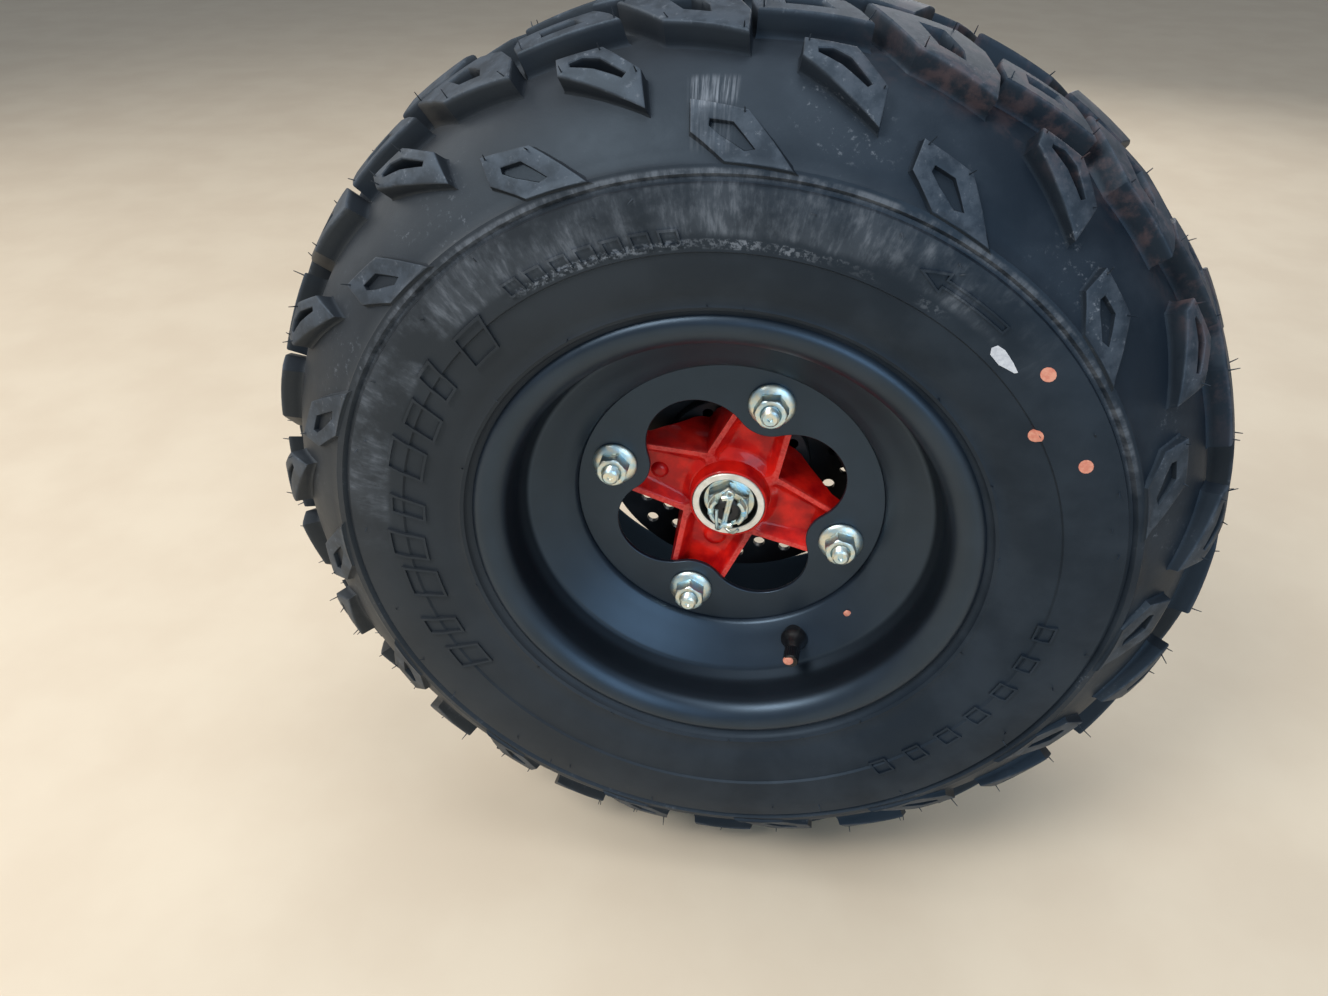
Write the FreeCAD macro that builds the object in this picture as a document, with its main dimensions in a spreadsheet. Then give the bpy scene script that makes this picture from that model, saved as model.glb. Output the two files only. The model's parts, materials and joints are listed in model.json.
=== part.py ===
import FreeCAD, Part
import math
import os
import re
import Sketcher

# The left front wheel of a quad bike, with its tyre, hub, disc brake and steering knuckle.
# Millimetres and degrees: +Z is up, +X points to the rear and +Y to the middle of the vehicle.
# The origin is the middle of the lower ball joint's bore. Most pieces are drawn about the wheel's
# centre, in the tyre's middle plane, with the axle along Y, and are then put in place as one.
# A clock angle is measured from straight up towards the rear, as seen from outside.

SIZES = {
    # Where the axle is
    "ball_reach": 100.0,           # ball joints' line, inboard of the tyre's middle plane
    "lower_ball_drop": 75.0,       # lower ball joint, below the axle
    "upper_ball_rise": 80.0,       # upper ball joint, above the axle
    # Tyre
    "tyre_radius": 279.5,
    "lug_height": 17.0,            # over the casing, in the middle of the tread
    "lug_crown": 25.0,             # distance from the middle over which the lugs keep that height
    "lug_fade": 52.0,              # distance over which their height then falls to a third
    "lug_sink": 3.0,
    "crown_flat": 20.0,            # half of the casing's flat middle
    "crown_drop": 26.0,            # from the casing's middle to its shoulder
    "shoulder_half": 73.0,
    "belly_drop": 31.5,            # from the shoulder to the widest part of the side
    "belly_bulge": 19.5,           # of the side past the rim's flange
    "belly_arc": 107.0,
    "upper_side_arc": 91.0,
    "side_wall": 7.0,
    "crown_wall": 11.0,
    "bead_gap": 0.1,
    "bead_width": 16.0,
    # Rim
    "rim_half": 70.0,              # between the flanges, halved
    "seat_radius": 127.0,
    "seat_taper": 1.4,
    "rim_wall": 2.8,
    "flange_height": 16.0,
    "flange_straight": 7.0,        # flat part of the flange, before it rolls over
    "lip_reach": 6.0,              # of the rolled lip past the flange
    "lip_roll": 4.0,
    "lip_crest": 3.3,              # of the lip's crest past its edge
    "lip_fall": 6.0,               # of the lip's crest below its edge
    "lip_side_arc": 14.0,
    "lip_foot": 1.0,               # of the lip's inner edge past the bead seat
    "lip_roll_end": 3.5,           # from the lip's edge back to the end of its roll
    "fold_inset": 21.0,            # from the flange to the place where the dish starts
    "fold_drop": 8.0,              # of the dish's edge below the bead seat
    "well_radius": 92.0,
    "well_end": 9.5,
    "well_climb": 29.5,            # length of the slope from the well to the inner seat
    # Wheel disc, between rim and hub
    "disc_face": 28.0,             # outboard of the middle plane
    "disc_wall": 3.0,
    "disc_inset": 2.0,             # of the disc's face from the foot of the dish
    "stud_circle": 72.0,
    "stud_angle": 17.8,
    "stud_radius": 5.0,
    "stud_tip": 45.0,
    "stud_head_radius": 8.0,
    "stud_head_height": 4.0,
    "ear_radius": 21.0,            # metal left round each stud
    "lobe_circle": 42.0,
    # Wheel nuts
    "nut_width": 17.0,             # across flats
    "nut_height": 12.0,
    "nut_flange_radius": 13.3,
    "nut_flange_height": 3.0,
    "nut_flange_edge": 1.0,
    "nut_chamfer": 2.0,
    # Hub
    "arm_depth": 16.0,
    "arm_tip_half": 15.5,
    "arm_root": 22.5,
    "arm_rib": 4.5,
    "bore_step": 2.0,              # between the outer bearing's seat and the bore behind it
    "rib_fall_start": 62.0,        # distance from the axle from which the arms' face sinks inwards
    "rib_fall": 11.0,              # how far it has sunk at the nose
    "pocket_start": 27.0,
    "pocket_end": 60.0,
    "pocket_depth": 13.0,
    "gusset_root": 24.0,
    "gusset_reach": 56.0,
    "gusset_foot": 33.0,
    "nose_face": 30.0,
    "nose_radius": 25.0,
    "barrel_radius": 30.0,
    "hub_flange_radius": 47.0,
    "hub_flange_wall": 10.0,
    "hub_end": 32.0,
    "bearing_shoulder": 2.5,       # step in the bore that each bearing seats on
    # Bearings and seals
    "outer_bearing_bore": 10.0,
    "outer_bearing_radius": 21.0,
    "outer_bearing_face": 22.0,    # outboard of the middle plane
    "outer_bearing_width": 12.0,
    "inner_bearing_bore": 12.5,
    "inner_bearing_radius": 23.5,
    "inner_bearing_face": 16.0,
    "inner_bearing_width": 12.0,
    "dust_ring_bore": 17.3,
    "dust_ring_radius": 21.6,
    "dust_ring_proud": 0.5,        # of the hub's nose
    "seal_bore": 16.0,
    # Brake disc
    "brake_disc_radius": 88.0,
    "brake_disc_bore": 32.0,
    "brake_disc_face": 25.0,
    "brake_disc_wall": 4.0,
    "vent_hole_radius": 3.8,
    "vent_first_circle": 62.0,
    "vent_circle_step": 7.8,
    "vent_start": 9.4,             # clock angle of the first hole
    "vent_lag": 12.0,              # turn from one hole of a row to the next
    "disc_bolt_circle": 39.5,
    "disc_bolt_radius": 4.0,
    "disc_bolt_head_radius": 7.0,
    "disc_bolt_head_height": 4.0,
    # Tyre valve
    "valve_angle": 153.5,
    "valve_radius": 5.7,
    "valve_thread_radius": 3.7,
    "valve_hole_gap": 0.1,
    "valve_reach": 22.0,           # of the valve's tip out of the dish
    "valve_button_radius": 8.2,
    "valve_button": 4.0,
    "valve_button_gap": 1.0,
    "valve_cap_length": 10.5,
    "valve_cap_radius": 5.1,
    "valve_cap_roof": 2.0,
    "valve_neck": 2.0,             # length over which the stem narrows to its thread
    # Spindle and its nut
    "running_gap": 0.05,
    "side_gap": 0.3,
    "spindle_thread": 8.0,
    "spindle_end": 40.0,
    "spindle_flange_radius": 20.0,
    "spindle_flange_start": 34.0,
    "spindle_shank": 15.0,
    "washer_radius": 15.4,
    "washer_wall": 3.3,
    "castle_width": 24.0,
    "castle_hex_height": 9.0,
    "castle_crown_height": 5.0,
    "castle_crown_radius": 11.0,
    "castle_slot": 3.4,
    "cotter_radius": 1.4,
    "cotter_reach": 14.0,
    "cotter_hole_gap": 0.1,
    "cotter_eye": 2.4,
    "cotter_eye_wire": 1.0,
    "cotter_eye_rise": 1.0,
    # Knuckle
    "knuckle_face": 38.0,
    "knuckle_back": 66.0,
    "knuckle_boss": 26.0,
    "knuckle_web": 22.0,
    "knuckle_edge": 2.0,
    "knuckle_bow": 14.0,           # slope of the web, from the boss to each ball joint's arm
    "knuckle_spread": 8.0,
    "knuckle_step": 3.0,
    "ball_arm_start": 30.0,        # each ball joint's arm, measured back from the ball joints' line
    "ball_arm_throat": 22.0,
    "ball_arm_end": 8.0,
    "ball_boss_radius": 15.0,
    "ball_boss_height": 22.0,
    "ball_bore": 7.0,
    "steering_arm_forward": 85.0,
    "steering_arm_height": 5.0,
    "steering_arm_depth": 14.0,
    "steering_arm_root": 4.0,
    "tie_rod_boss": 12.0,
    "tie_rod_bore": 5.0,
    # Caliper and its bracket
    "caliper_angle": 60.0,
    "caliper_half_width": 31.0,
    "caliper_bottom": 56.0,
    "caliper_top": 104.0,
    "caliper_bridge": 12.0,
    "caliper_bevel": 14.0,
    "finger_bevel": 6.0,
    "caliper_foot_bevel": 4.0,
    "finger_face": 8.0,
    "caliper_back": 70.0,
    "lining": 4.0,
    "pad_plate": 4.0,
    "pad_gap": 0.4,
    "pad_bottom": 60.0,
    "pad_top": 87.0,
    "pad_half_width": 27.0,
    "pad_taper": 4.0,
    "lining_inset": 2.0,
    "bracket_face": 40.0,
    "bracket_wall": 8.0,
    "bracket_arm": 12.0,
    "bracket_gap": 2.0,
    "slide_pin_radius": 4.0,
    "slide_pin_height": 76.0,
    "slide_ear_half": 8.0,
    "ear_height": 38.0,
    "ear_spacing": 24.0,
    "ear_boss": 11.0,
    "ear_bolt_radius": 4.0,
    "bolt_head_radius": 6.8,
    "bolt_head_height": 5.5,
    "hose_port_radius": 5.0,
    "hose_port_depth": 10.0,
    "bleed_radius": 3.5,
    "bleed_length": 16.0,
    "bleed_inset": 10.0,
    "bleed_setback": 22.0,
}

# Sizes that follow from others
LINKED = {
    "casing_radius": "tyre_radius - lug_height",
    "shoulder_radius": "casing_radius - crown_drop",
    "belly_radius": "shoulder_radius - belly_drop",
    "belly_half": "rim_half + belly_bulge",
    "lip_radius": "seat_radius + flange_height",
    "lip_half": "rim_half + lip_reach",
    "fold_half": "rim_half - fold_inset",
    "fold_radius": "seat_radius - fold_drop",
    "well_start": "disc_face + disc_inset",
    "dish_slope": "(fold_half - well_start) / (fold_radius - well_radius)",
    "dish_wall": "rim_wall * sqrt(1 + dish_slope ^ 2)",     # the dish's wall, measured along the axle
    "valve_circle": "(well_radius + fold_radius) / 2",
    "valve_seat": "(well_start + fold_half) / 2",
    "valve_tip": "valve_seat + valve_reach",
    "valve_foot": "valve_seat - dish_wall - valve_button_radius * dish_slope - valve_button_gap - valve_button",
    "web_face": "bracket_face + bracket_wall + bracket_gap / 2",
}

# The tread's lugs on the outboard half, for one pitch of the pattern. A corner is a clock angle
# and a distance from the tread's middle along the casing. The inboard half is the mirror image,
# half a pitch on.
LUGS = [
    [(19.2, 79.3), (25.3, 83.3), (30.3, 103.6), (21.6, 101.5)],
    [(5.9, 53.6), (10.6, 53.6), (14.3, 65.5), (14.5, 79.6), (6, 59.6)],
    [(24.5, 51.6), (16.4, 42.6), (10.8, 16), (19.8, 15), (24.2, 33)],
    [(1.2, 36), (11.7, 34), (9.3, 15), (-0.2, 16)],
    [(8.5, 10), (15.5, 12), (17.5, -4), (10.5, -8)],
]
PITCHES = 15
FACETS = 30                    # flat stretches round the casing

STUDS = 4
VENT_ROWS = 15
VENTS_IN_ROW = 3
CASTLE_SLOTS = 6
WASHER_FACE = "(outer_bearing_face + side_gap + washer_wall)"
COTTER_PLACE = "-(%s + castle_hex_height + castle_crown_height / 2)" % WASHER_FACE
QUARTERS = [(1, 0), (0, 1), (-1, 0), (0, -1)]       # cosine and sine of each quarter turn

doc = FreeCAD.newDocument("quad_front_wheel")
dim = doc.addObject("Spreadsheet::Sheet", "dim")
for row, (name, number) in enumerate(SIZES.items(), start=1):
    dim.set("A%d" % row, name)
    dim.set("B%d" % row, str(number))
    dim.setAlias("B%d" % row, name)
doc.recompute()

# The pieces that are written out, in order, as label and object
PIECES = []


def bound(text):
    """An expression with each size's name pointing at its cell, and each linked size written out."""
    def cell(word):
        if word[0] in LINKED:
            return "(%s)" % bound(LINKED[word[0]])
        return "dim." + word[0] if word[0] in SIZES else word[0]
    return re.sub(r"[a-z][a-z_]*", cell, str(text))


def value(text):
    """What an expression is worth now."""
    return float(dim.evalExpression(bound(text)))


def bind(thing, prop, text):
    thing.setExpression(prop, bound(text))


def place(thing, x="0", y="0", z="0", turn=None):
    """Put a piece drawn about the wheel's centre where the axle is, turned about the axle or shifted."""
    if turn:
        thing.Placement.Rotation = FreeCAD.Rotation(FreeCAD.Vector(0, 1, 0), 1)
        bind(thing, "Placement.Rotation.Angle", turn)
    bind(thing, "Placement.Base.x", x)
    bind(thing, "Placement.Base.y", "%s - ball_reach" % y)
    bind(thing, "Placement.Base.z", "%s + lower_ball_drop" % z)


def place_clock(thing, circle, clock):
    """Put a piece with its own axis along Y on a circle round the axle."""
    place(thing, x="%s * sin(%s)" % (circle, clock), z="%s * cos(%s)" % (circle, clock))


def new_body(label):
    body = doc.addObject("PartDesign::Body", label)
    body.Label = label
    PIECES.append(body)
    return body


def new_sketch(body, role, offset=None):
    """An empty sketch on one of the body's own planes, or a distance along that plane's normal."""
    sketch = body.newObject("Sketcher::SketchObject", body.Label + "_sketch")
    plane = [feature for feature in body.Origin.OriginFeatures if feature.Role == role][0]
    sketch.AttachmentSupport = [(plane, "")]
    sketch.MapMode = "FlatFace"
    if offset:
        bind(sketch, "AttachmentOffset.Base.z", offset)
    return sketch


def fix_point(sketch, edge, end, x, y):
    """Hold a point of the sketch at two bound distances from its origin."""
    for kind, text in (("DistanceX", x), ("DistanceY", y)):
        index = sketch.addConstraint(Sketcher.Constraint(kind, -1, 1, edge, end, value(text)))
        bind(sketch, "Constraints[%d]" % index, text)


def arc_middle(start, end, radius):
    """The middle of an arc of that radius, on the left of the way for a positive one."""
    across = end - start
    half = across.Length / 2
    rise = abs(radius) - math.sqrt(radius ** 2 - half ** 2)
    left = FreeCAD.Vector(-across.y, across.x, 0).normalize()
    return (start + end) / 2 + left * math.copysign(rise, radius)


def add_outline(sketch, corners):
    """A closed outline. A row is a corner's two places and, if an arc leads to it, the arc's radius."""
    points = [FreeCAD.Vector(value(row[0]), value(row[1]), 0) for row in corners]
    first = sketch.GeometryCount
    ends = []
    for index, row in enumerate(corners):
        start, end = points[index - 1], points[index]
        if len(row) == 2:
            edge = sketch.addGeometry(Part.LineSegment(start, end), False)
        else:
            middle = arc_middle(start, end, value(row[2]))
            edge = sketch.addGeometry(Part.Arc(start, middle, end), False)
            radius = sketch.addConstraint(Sketcher.Constraint("Radius", edge, abs(value(row[2]))))
            bind(sketch, "Constraints[%d]" % radius, "abs(%s)" % row[2])
        ends.append((1, 2) if (sketch.getPoint(edge, 2) - end).Length < 1e-6 else (2, 1))
    for index, row in enumerate(corners):
        before = (index - 1) % len(corners)
        sketch.addConstraint(Sketcher.Constraint(
            "Coincident", first + before, ends[before][1], first + index, ends[index][0]))
        fix_point(sketch, first + index, ends[index][1], row[0], row[1])


def add_circle(sketch, x, y, radius):
    centre = FreeCAD.Vector(value(x), value(y), 0)
    edge = sketch.addGeometry(Part.Circle(centre, FreeCAD.Vector(0, 0, 1), value(radius)), False)
    fix_point(sketch, edge, 3, x, y)
    index = sketch.addConstraint(Sketcher.Constraint("Radius", edge, value(radius)))
    bind(sketch, "Constraints[%d]" % index, radius)


def turn_outline(body, corners, cut=False):
    """Turn an outline of (place along Y, radius) rows about the body's Y axis."""
    sketch = new_sketch(body, "YZ_Plane")
    add_outline(sketch, corners)
    kind = "PartDesign::Groove" if cut else "PartDesign::Revolution"
    feature = body.newObject(kind, body.Label + "_turning")
    feature.Profile = sketch
    feature.ReferenceAxis = (sketch, ["H_Axis"])
    feature.Angle = 360
    doc.recompute()
    return feature


def raise_sketch(body, sketch, length, back=False, both=False, cut=False):
    """Pad or pocket a sketch along its normal, or the other way with back."""
    kind = "PartDesign::Pocket" if cut else "PartDesign::Pad"
    before = body.Shape.Volume if cut else 0
    feature = body.newObject(kind, body.Label + ("_pocket" if cut else "_pad"))
    feature.Profile = sketch
    feature.Midplane = both
    feature.Reversed = back
    bind(feature, "Length", length)
    doc.recompute()
    if cut and not body.Shape.Volume < before:
        raise RuntimeError("%s: a pocket cuts nothing" % body.Label)
    return feature


def pad_outline(body, corners, start, length, cut=False):
    """A plate drawn in X and Z, from a place along Y inboard by the length."""
    sketch = new_sketch(body, "XZ_Plane", "-(%s)" % start)
    add_outline(sketch, corners)
    return raise_sketch(body, sketch, length, back=not cut, cut=cut)


def pad_circles(body, circles, start, length, cut=False):
    """Round bars or holes along Y: each circle is x, z and radius."""
    sketch = new_sketch(body, "XZ_Plane", "-(%s)" % start)
    for circle in circles:
        add_circle(sketch, *circle)
    return raise_sketch(body, sketch, length, back=not cut, cut=cut)


def turned(along, aside, cosine, sine):
    """A place given along and aside of a direction, as X and Z."""
    return ("%s * (%s) - %s * (%s)" % (cosine, along, sine, aside),
            "%s * (%s) + %s * (%s)" % (sine, along, cosine, aside))


def stud_holes():
    return [turned("stud_circle", "0", cosine, sine) + ("stud_radius",) for cosine, sine in QUARTERS]


def ring(label, bore, radius, start, width):
    """A plain ring round the axle."""
    body = new_body(label)
    end = "%s + %s" % (start, width)
    turn_outline(body, [(start, bore), (start, radius), (end, radius), (end, bore)])
    place(body)
    return body


def hexagon(width):
    """The corners of a hexagon, from its width across flats."""
    return [("%s / sqrt(3) * cos(%d)" % (width, 60 * k), "%s / sqrt(3) * sin(%d)" % (width, 60 * k))
            for k in range(6)]


def crown_spot(share):
    """The casing's outline from the flat middle, at 0, to the shoulder, at 1."""
    fall = share * share
    return FreeCAD.Vector(value("crown_flat + (shoulder_half - crown_flat) * %s" % share),
                          value("casing_radius - crown_drop * %s" % fall), 0)


def casing_half():
    """The casing's outside as (place along Y, radius), from its flat middle down to the rim's lip."""
    shoulder = crown_spot(1)
    belly = FreeCAD.Vector(value("belly_half"), value("belly_radius"), 0)
    lip = FreeCAD.Vector(value("lip_half"), value("lip_radius + 1"), 0)
    upper_side = arc_middle(shoulder, belly, value("upper_side_arc"))
    lower_side = arc_middle(belly, lip, value("belly_arc"))
    return [crown_spot(0), crown_spot(0.4), crown_spot(0.72), shoulder, upper_side, belly, lower_side, lip]


def round_axle(flat, clock, side=1):
    """A spot of the section, as (place along Y, radius), turned to a clock angle; side 1 is outboard."""
    angle = math.radians(clock)
    return FreeCAD.Vector(flat.y * math.sin(angle), -side * flat.x, flat.y * math.cos(angle))


def solid_of(faces):
    """The solid that flat faces close, given as lists of corners."""
    shell = Part.makeShell([Part.Face(Part.makePolygon(face + face[:1])) for face in faces])
    solid = Part.makeSolid(shell)
    if solid.Volume < 0:
        solid.reverse()
    return solid


def make_casing(outside):
    """The tyre without its lugs, in flat facets that stand clear of the rim's round seat."""
    clear = 1 / math.cos(math.pi / FACETS)
    bore = value("seat_radius + bead_gap") * clear
    flange = value("rim_half - bead_gap")
    half = outside[:-1] + [
        FreeCAD.Vector(outside[-1].x, outside[-1].y * clear, 0),
        FreeCAD.Vector(flange, value("lip_radius") * clear, 0),
        FreeCAD.Vector(flange, bore, 0),
        FreeCAD.Vector(value("rim_half - bead_width"), bore, 0),
        FreeCAD.Vector(flange - value("side_wall"), value("lip_radius"), 0),
        FreeCAD.Vector(value("belly_half - side_wall"), value("belly_radius"), 0),
        FreeCAD.Vector(value("shoulder_half - crown_wall"), value("shoulder_radius - side_wall / 2"), 0),
        FreeCAD.Vector(value("shoulder_half / 2"), value("casing_radius - crown_wall"), 0),
    ]
    rings = half + [FreeCAD.Vector(-spot.x, spot.y, 0) for spot in reversed(half)]
    faces = []
    for facet in range(FACETS):
        near, far = 360 / FACETS * facet, 360 / FACETS * (facet + 1)
        for before, after in zip(rings[-1:] + rings, rings):
            faces.append([round_axle(before, near), round_axle(before, far),
                          round_axle(after, far), round_axle(after, near)])
    return solid_of(faces)


def casing_spot(outside, reach):
    """The spot at a distance from the tread's middle along the casing, and the way out there."""
    side = math.copysign(1, reach)
    left = abs(reach)
    before = FreeCAD.Vector(0, outside[0].y, 0)
    for after in outside:
        step = (after - before).Length
        way = (after - before) / step
        if left <= step or after is outside[-1]:
            spot = before + way * left
            return FreeCAD.Vector(side * spot.x, spot.y, 0), FreeCAD.Vector(-side * way.y, way.x, 0)
        left -= step
        before = after


def lug_height(reach):
    fade = max(0, abs(reach) - value("lug_crown")) / value("lug_fade")
    return value("lug_height") * math.exp(-fade * fade)


def make_lug(outside, corners, side, turn):
    """A lug with straight walls, a flat top along the tread's curve and its foot sunk in the casing."""
    clocks = [clock for clock, reach in corners]
    reaches = [reach for clock, reach in corners]
    middle = turn + (min(clocks) + max(clocks)) / 2
    flatter = math.cos(math.radians(max(clocks) - min(clocks)) / 2)
    ends = []
    for reach in (min(reaches), max(reaches)):
        spot, out = casing_spot(outside, reach)
        tip = spot + out * lug_height(reach)
        ends.append(FreeCAD.Vector(tip.x, tip.y * flatter, 0))
    way = (ends[1] - ends[0]).normalize()
    up = round_axle(FreeCAD.Vector(-way.y, way.x, 0), middle, side)
    top = round_axle(ends[0], middle, side)
    tops, feet = [], []
    for clock, reach in corners + [(sum(clocks) / len(clocks), sum(reaches) / len(reaches))]:
        spot = round_axle(casing_spot(outside, reach)[0], turn + clock, side)
        tops.append(spot + up * (top - spot).dot(up))
        feet.append(spot - up * value("lug_sink"))
    tops.pop()
    foot = feet.pop()
    faces = [tops]
    for index in range(len(corners)):
        faces.append([tops[index - 1], tops[index], feet[index], feet[index - 1]])
        faces.append([feet[index - 1], feet[index], foot])
    return solid_of(faces)


def make_tyre():
    """A hollow casing with the tread's lugs fused to it."""
    outside = casing_half()
    lugs = []
    for pitch in range(PITCHES):
        for side, lead in ((1, 0), (-1, 0.5)):
            turn = 360 / PITCHES * (pitch + lead)
            lugs += [make_lug(outside, corners, side, turn) for corners in LUGS]
    tyre = doc.addObject("Part::Feature", "tyre")
    tyre.Label = "tyre"
    tyre.Shape = make_casing(outside).multiFuse(lugs).Solids[0]
    place(tyre)
    PIECES.append(tyre)


def make_rim_barrel():
    """The rolled steel rim: the tyre's side first, then back along the open side with the dish."""
    body = new_body("rim_barrel")
    climb = "(-well_end + well_climb)"
    roll = "(lip_half - lip_roll_end)"
    edge = "(lip_half - lip_reach / 4)"
    dish_top = "(well_start + (seat_radius - seat_taper - well_radius) * dish_slope - dish_wall)"
    inner_seat = "(seat_radius - rim_wall)"
    turn_outline(body, [
        ("-" + roll, "lip_radius - lip_roll / 2", "lip_roll"),
        ("-rim_half", "seat_radius + flange_straight"),
        ("-rim_half", "seat_radius"),
        ("-" + dish_top, "seat_radius - seat_taper"),
        ("-(well_start + rim_wall * dish_slope - dish_wall)", "well_radius + rim_wall"),
        ("-well_end", "well_radius + rim_wall"),
        (climb, "seat_radius - seat_taper"),
        ("rim_half", "seat_radius"),
        ("rim_half", "seat_radius + flange_straight"),
        (roll, "lip_radius - lip_roll / 2"),
        ("lip_half", "lip_radius", "lip_roll"),
        ("lip_half + lip_crest", "lip_radius - lip_fall", "2 * lip_roll"),
        (edge, "seat_radius + lip_foot", "lip_side_arc"),
        ("rim_half - rim_wall", inner_seat, "-2 * lip_roll"),
        (climb + " + rim_wall / 2", inner_seat + " - seat_taper"),
        ("-well_end + rim_wall / 2", "well_radius"),
        ("-well_start", "well_radius"),
        ("-fold_half", "fold_radius"),
        ("-(fold_half + rim_wall)", inner_seat + " - seat_taper"),
        ("-(rim_half - rim_wall)", inner_seat),
        ("-" + edge, "seat_radius + lip_foot", "-2 * lip_roll"),
        ("-(lip_half + lip_crest)", "lip_radius - lip_fall", "lip_side_arc"),
        ("-lip_half", "lip_radius", "2 * lip_roll"),
    ])
    x, z = turned("valve_circle", "0", "sin(valve_angle)", "cos(valve_angle)")
    pad_circles(body, [(x, z, "valve_radius + valve_hole_gap")], "-fold_half", "fold_half - valve_foot", cut=True)
    place(body)


def make_wheel_disc():
    """The flat plate between rim and hub, with a window of four lobes between the studs."""
    body = new_body("wheel_disc")
    pad_circles(body, [("0", "0", "well_radius")], "-disc_face", "disc_wall")
    span = "sqrt(stud_circle ^ 2 + lobe_circle ^ 2 - 2 * stud_circle * lobe_circle * cos(45))"
    share = "ear_radius / " + span
    along = "(stud_circle + (lobe_circle * cos(45) - stud_circle) * %s)" % share
    aside = "(lobe_circle * sin(45) * %s)" % share
    corners = []
    for cosine, sine in QUARTERS:
        corners.append(turned(along, "-" + aside, cosine, sine) + ("-(%s - ear_radius)" % span,))
        corners.append(turned(along, aside, cosine, sine) + ("ear_radius",))
    pad_outline(body, corners, "-disc_face", "disc_wall", cut=True)
    pad_circles(body, stud_holes(), "-disc_face", "disc_wall", cut=True)
    place(body, turn="stud_angle")


def make_studs_and_nuts():
    """Pressed-in studs with their heads behind the hub's pads, and a flange nut on each."""
    for index in range(STUDS):
        clock = "(stud_angle + %d)" % (360 * index / STUDS)
        stud = new_body("wheel_stud_%d" % (index + 1))
        back = "(-disc_face + disc_wall + arm_depth)"
        turn_outline(stud, [
            ("-stud_tip", "0"),
            ("-stud_tip", "stud_radius - 1"),
            ("-(stud_tip - 1)", "stud_radius"),
            (back, "stud_radius"),
            (back, "stud_head_radius"),
            (back + " + stud_head_height", "stud_head_radius"),
            (back + " + stud_head_height", "0"),
        ])
        place_clock(stud, "stud_circle", clock)

        nut = new_body("wheel_nut_%d" % (index + 1))
        top = "-(disc_face + nut_height)"
        pad_outline(nut, hexagon("nut_width"), top, "nut_height")
        turn_outline(nut, [
            ("-(disc_face + nut_flange_height)", "nut_width / 2 - nut_flange_edge"),
            ("-(disc_face + nut_flange_height)", "nut_width / 2 + nut_flange_edge"),
            ("-(disc_face + nut_flange_edge)", "nut_flange_radius"),
            ("-disc_face", "nut_flange_radius"),
            ("-disc_face", "nut_width / 2 - nut_flange_edge"),
        ])
        corner = "nut_width / sqrt(3)"
        turn_outline(nut, [
            (top, "nut_width / 2 - nut_chamfer / 5"),
            (top, corner + " + nut_chamfer"),
            (top + " + 1.2 * nut_chamfer", corner + " + nut_chamfer"),
        ], cut=True)
        pad_circles(nut, [("0", "0", "stud_radius")], top, "nut_height", cut=True)
        place_clock(nut, "stud_circle", clock)


def make_hub():
    """A barrel with four tapering arms, each with a pocket between two ribs, and a flange for the disc."""
    body = new_body("hub")
    pad_face = "(-disc_face + disc_wall)"
    flange_start = "(brake_disc_face - hub_flange_wall)"
    ring_seat = "(-outer_bearing_face - side_gap)"
    outer_end = "(-outer_bearing_face + outer_bearing_width)"
    turn_outline(body, [
        ("-nose_face", "dust_ring_radius"),
        ("-nose_face", "nose_radius"),
        (pad_face + " + arm_depth", "barrel_radius"),
        (flange_start, "barrel_radius"),
        (flange_start, "hub_flange_radius"),
        ("brake_disc_face", "hub_flange_radius"),
        ("brake_disc_face", "brake_disc_bore"),
        ("hub_end", "brake_disc_bore"),
        ("hub_end", "inner_bearing_radius"),
        ("inner_bearing_face", "inner_bearing_radius"),
        ("inner_bearing_face", "inner_bearing_radius - bearing_shoulder"),
        (outer_end, "outer_bearing_radius - bearing_shoulder"),
        (outer_end, "outer_bearing_radius"),
        (ring_seat, "outer_bearing_radius"),
        (ring_seat, "dust_ring_radius"),
    ])
    inner_bore = "(outer_bearing_radius + bore_step)"
    star = []
    for cosine, sine in QUARTERS:
        for along, aside, arc in (
                ("arm_root", "-arm_root", None),
                ("stud_circle", "-arm_tip_half", None),
                ("(stud_circle + arm_tip_half)", "0", "-arm_tip_half"),
                ("stud_circle", "arm_tip_half", "-arm_tip_half")):
            corner = turned(along, aside, cosine, sine)
            star.append(corner + (arc,) if arc else corner)
    sketch = new_sketch(body, "XZ_Plane", "-%s" % pad_face)
    add_outline(sketch, star)
    add_circle(sketch, "0", "0", inner_bore)
    raise_sketch(body, sketch, "arm_depth", back=True)
    for plane in ("YZ_Plane", "XY_Plane"):
        make_gussets(body, plane, "(%s + arm_depth)" % pad_face, flange_start)
    turn_outline(body, [
        (pad_face, "nose_radius"),
        (pad_face, "rib_fall_start"),
        (pad_face + " + rib_fall", "nose_radius"),
    ], cut=True)

    slope = "(arm_root - arm_tip_half) / (stud_circle - arm_root)"
    for cosine, sine in QUARTERS:
        pocket = []
        for end, side in (("start", -1), ("end", -1), ("end", 1), ("start", 1)):
            along = "pocket_" + end
            aside = "%d * (arm_root - (%s - arm_root) * %s - arm_rib)" % (side, along, slope)
            pocket.append(turned(along, aside, cosine, sine))
        pad_outline(body, pocket, "-nose_face", "nose_face + %s + pocket_depth" % pad_face, cut=True)
    pad_circles(body, stud_holes(), pad_face, "arm_depth", cut=True)
    bolts = [("disc_bolt_circle * cos(%d)" % turn, "disc_bolt_circle * sin(%d)" % turn, "disc_bolt_radius")
             for turn in (45, 135, 225, 315)]
    pad_circles(body, bolts, flange_start, "hub_flange_wall", cut=True)
    place(body, turn="stud_angle")


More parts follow.
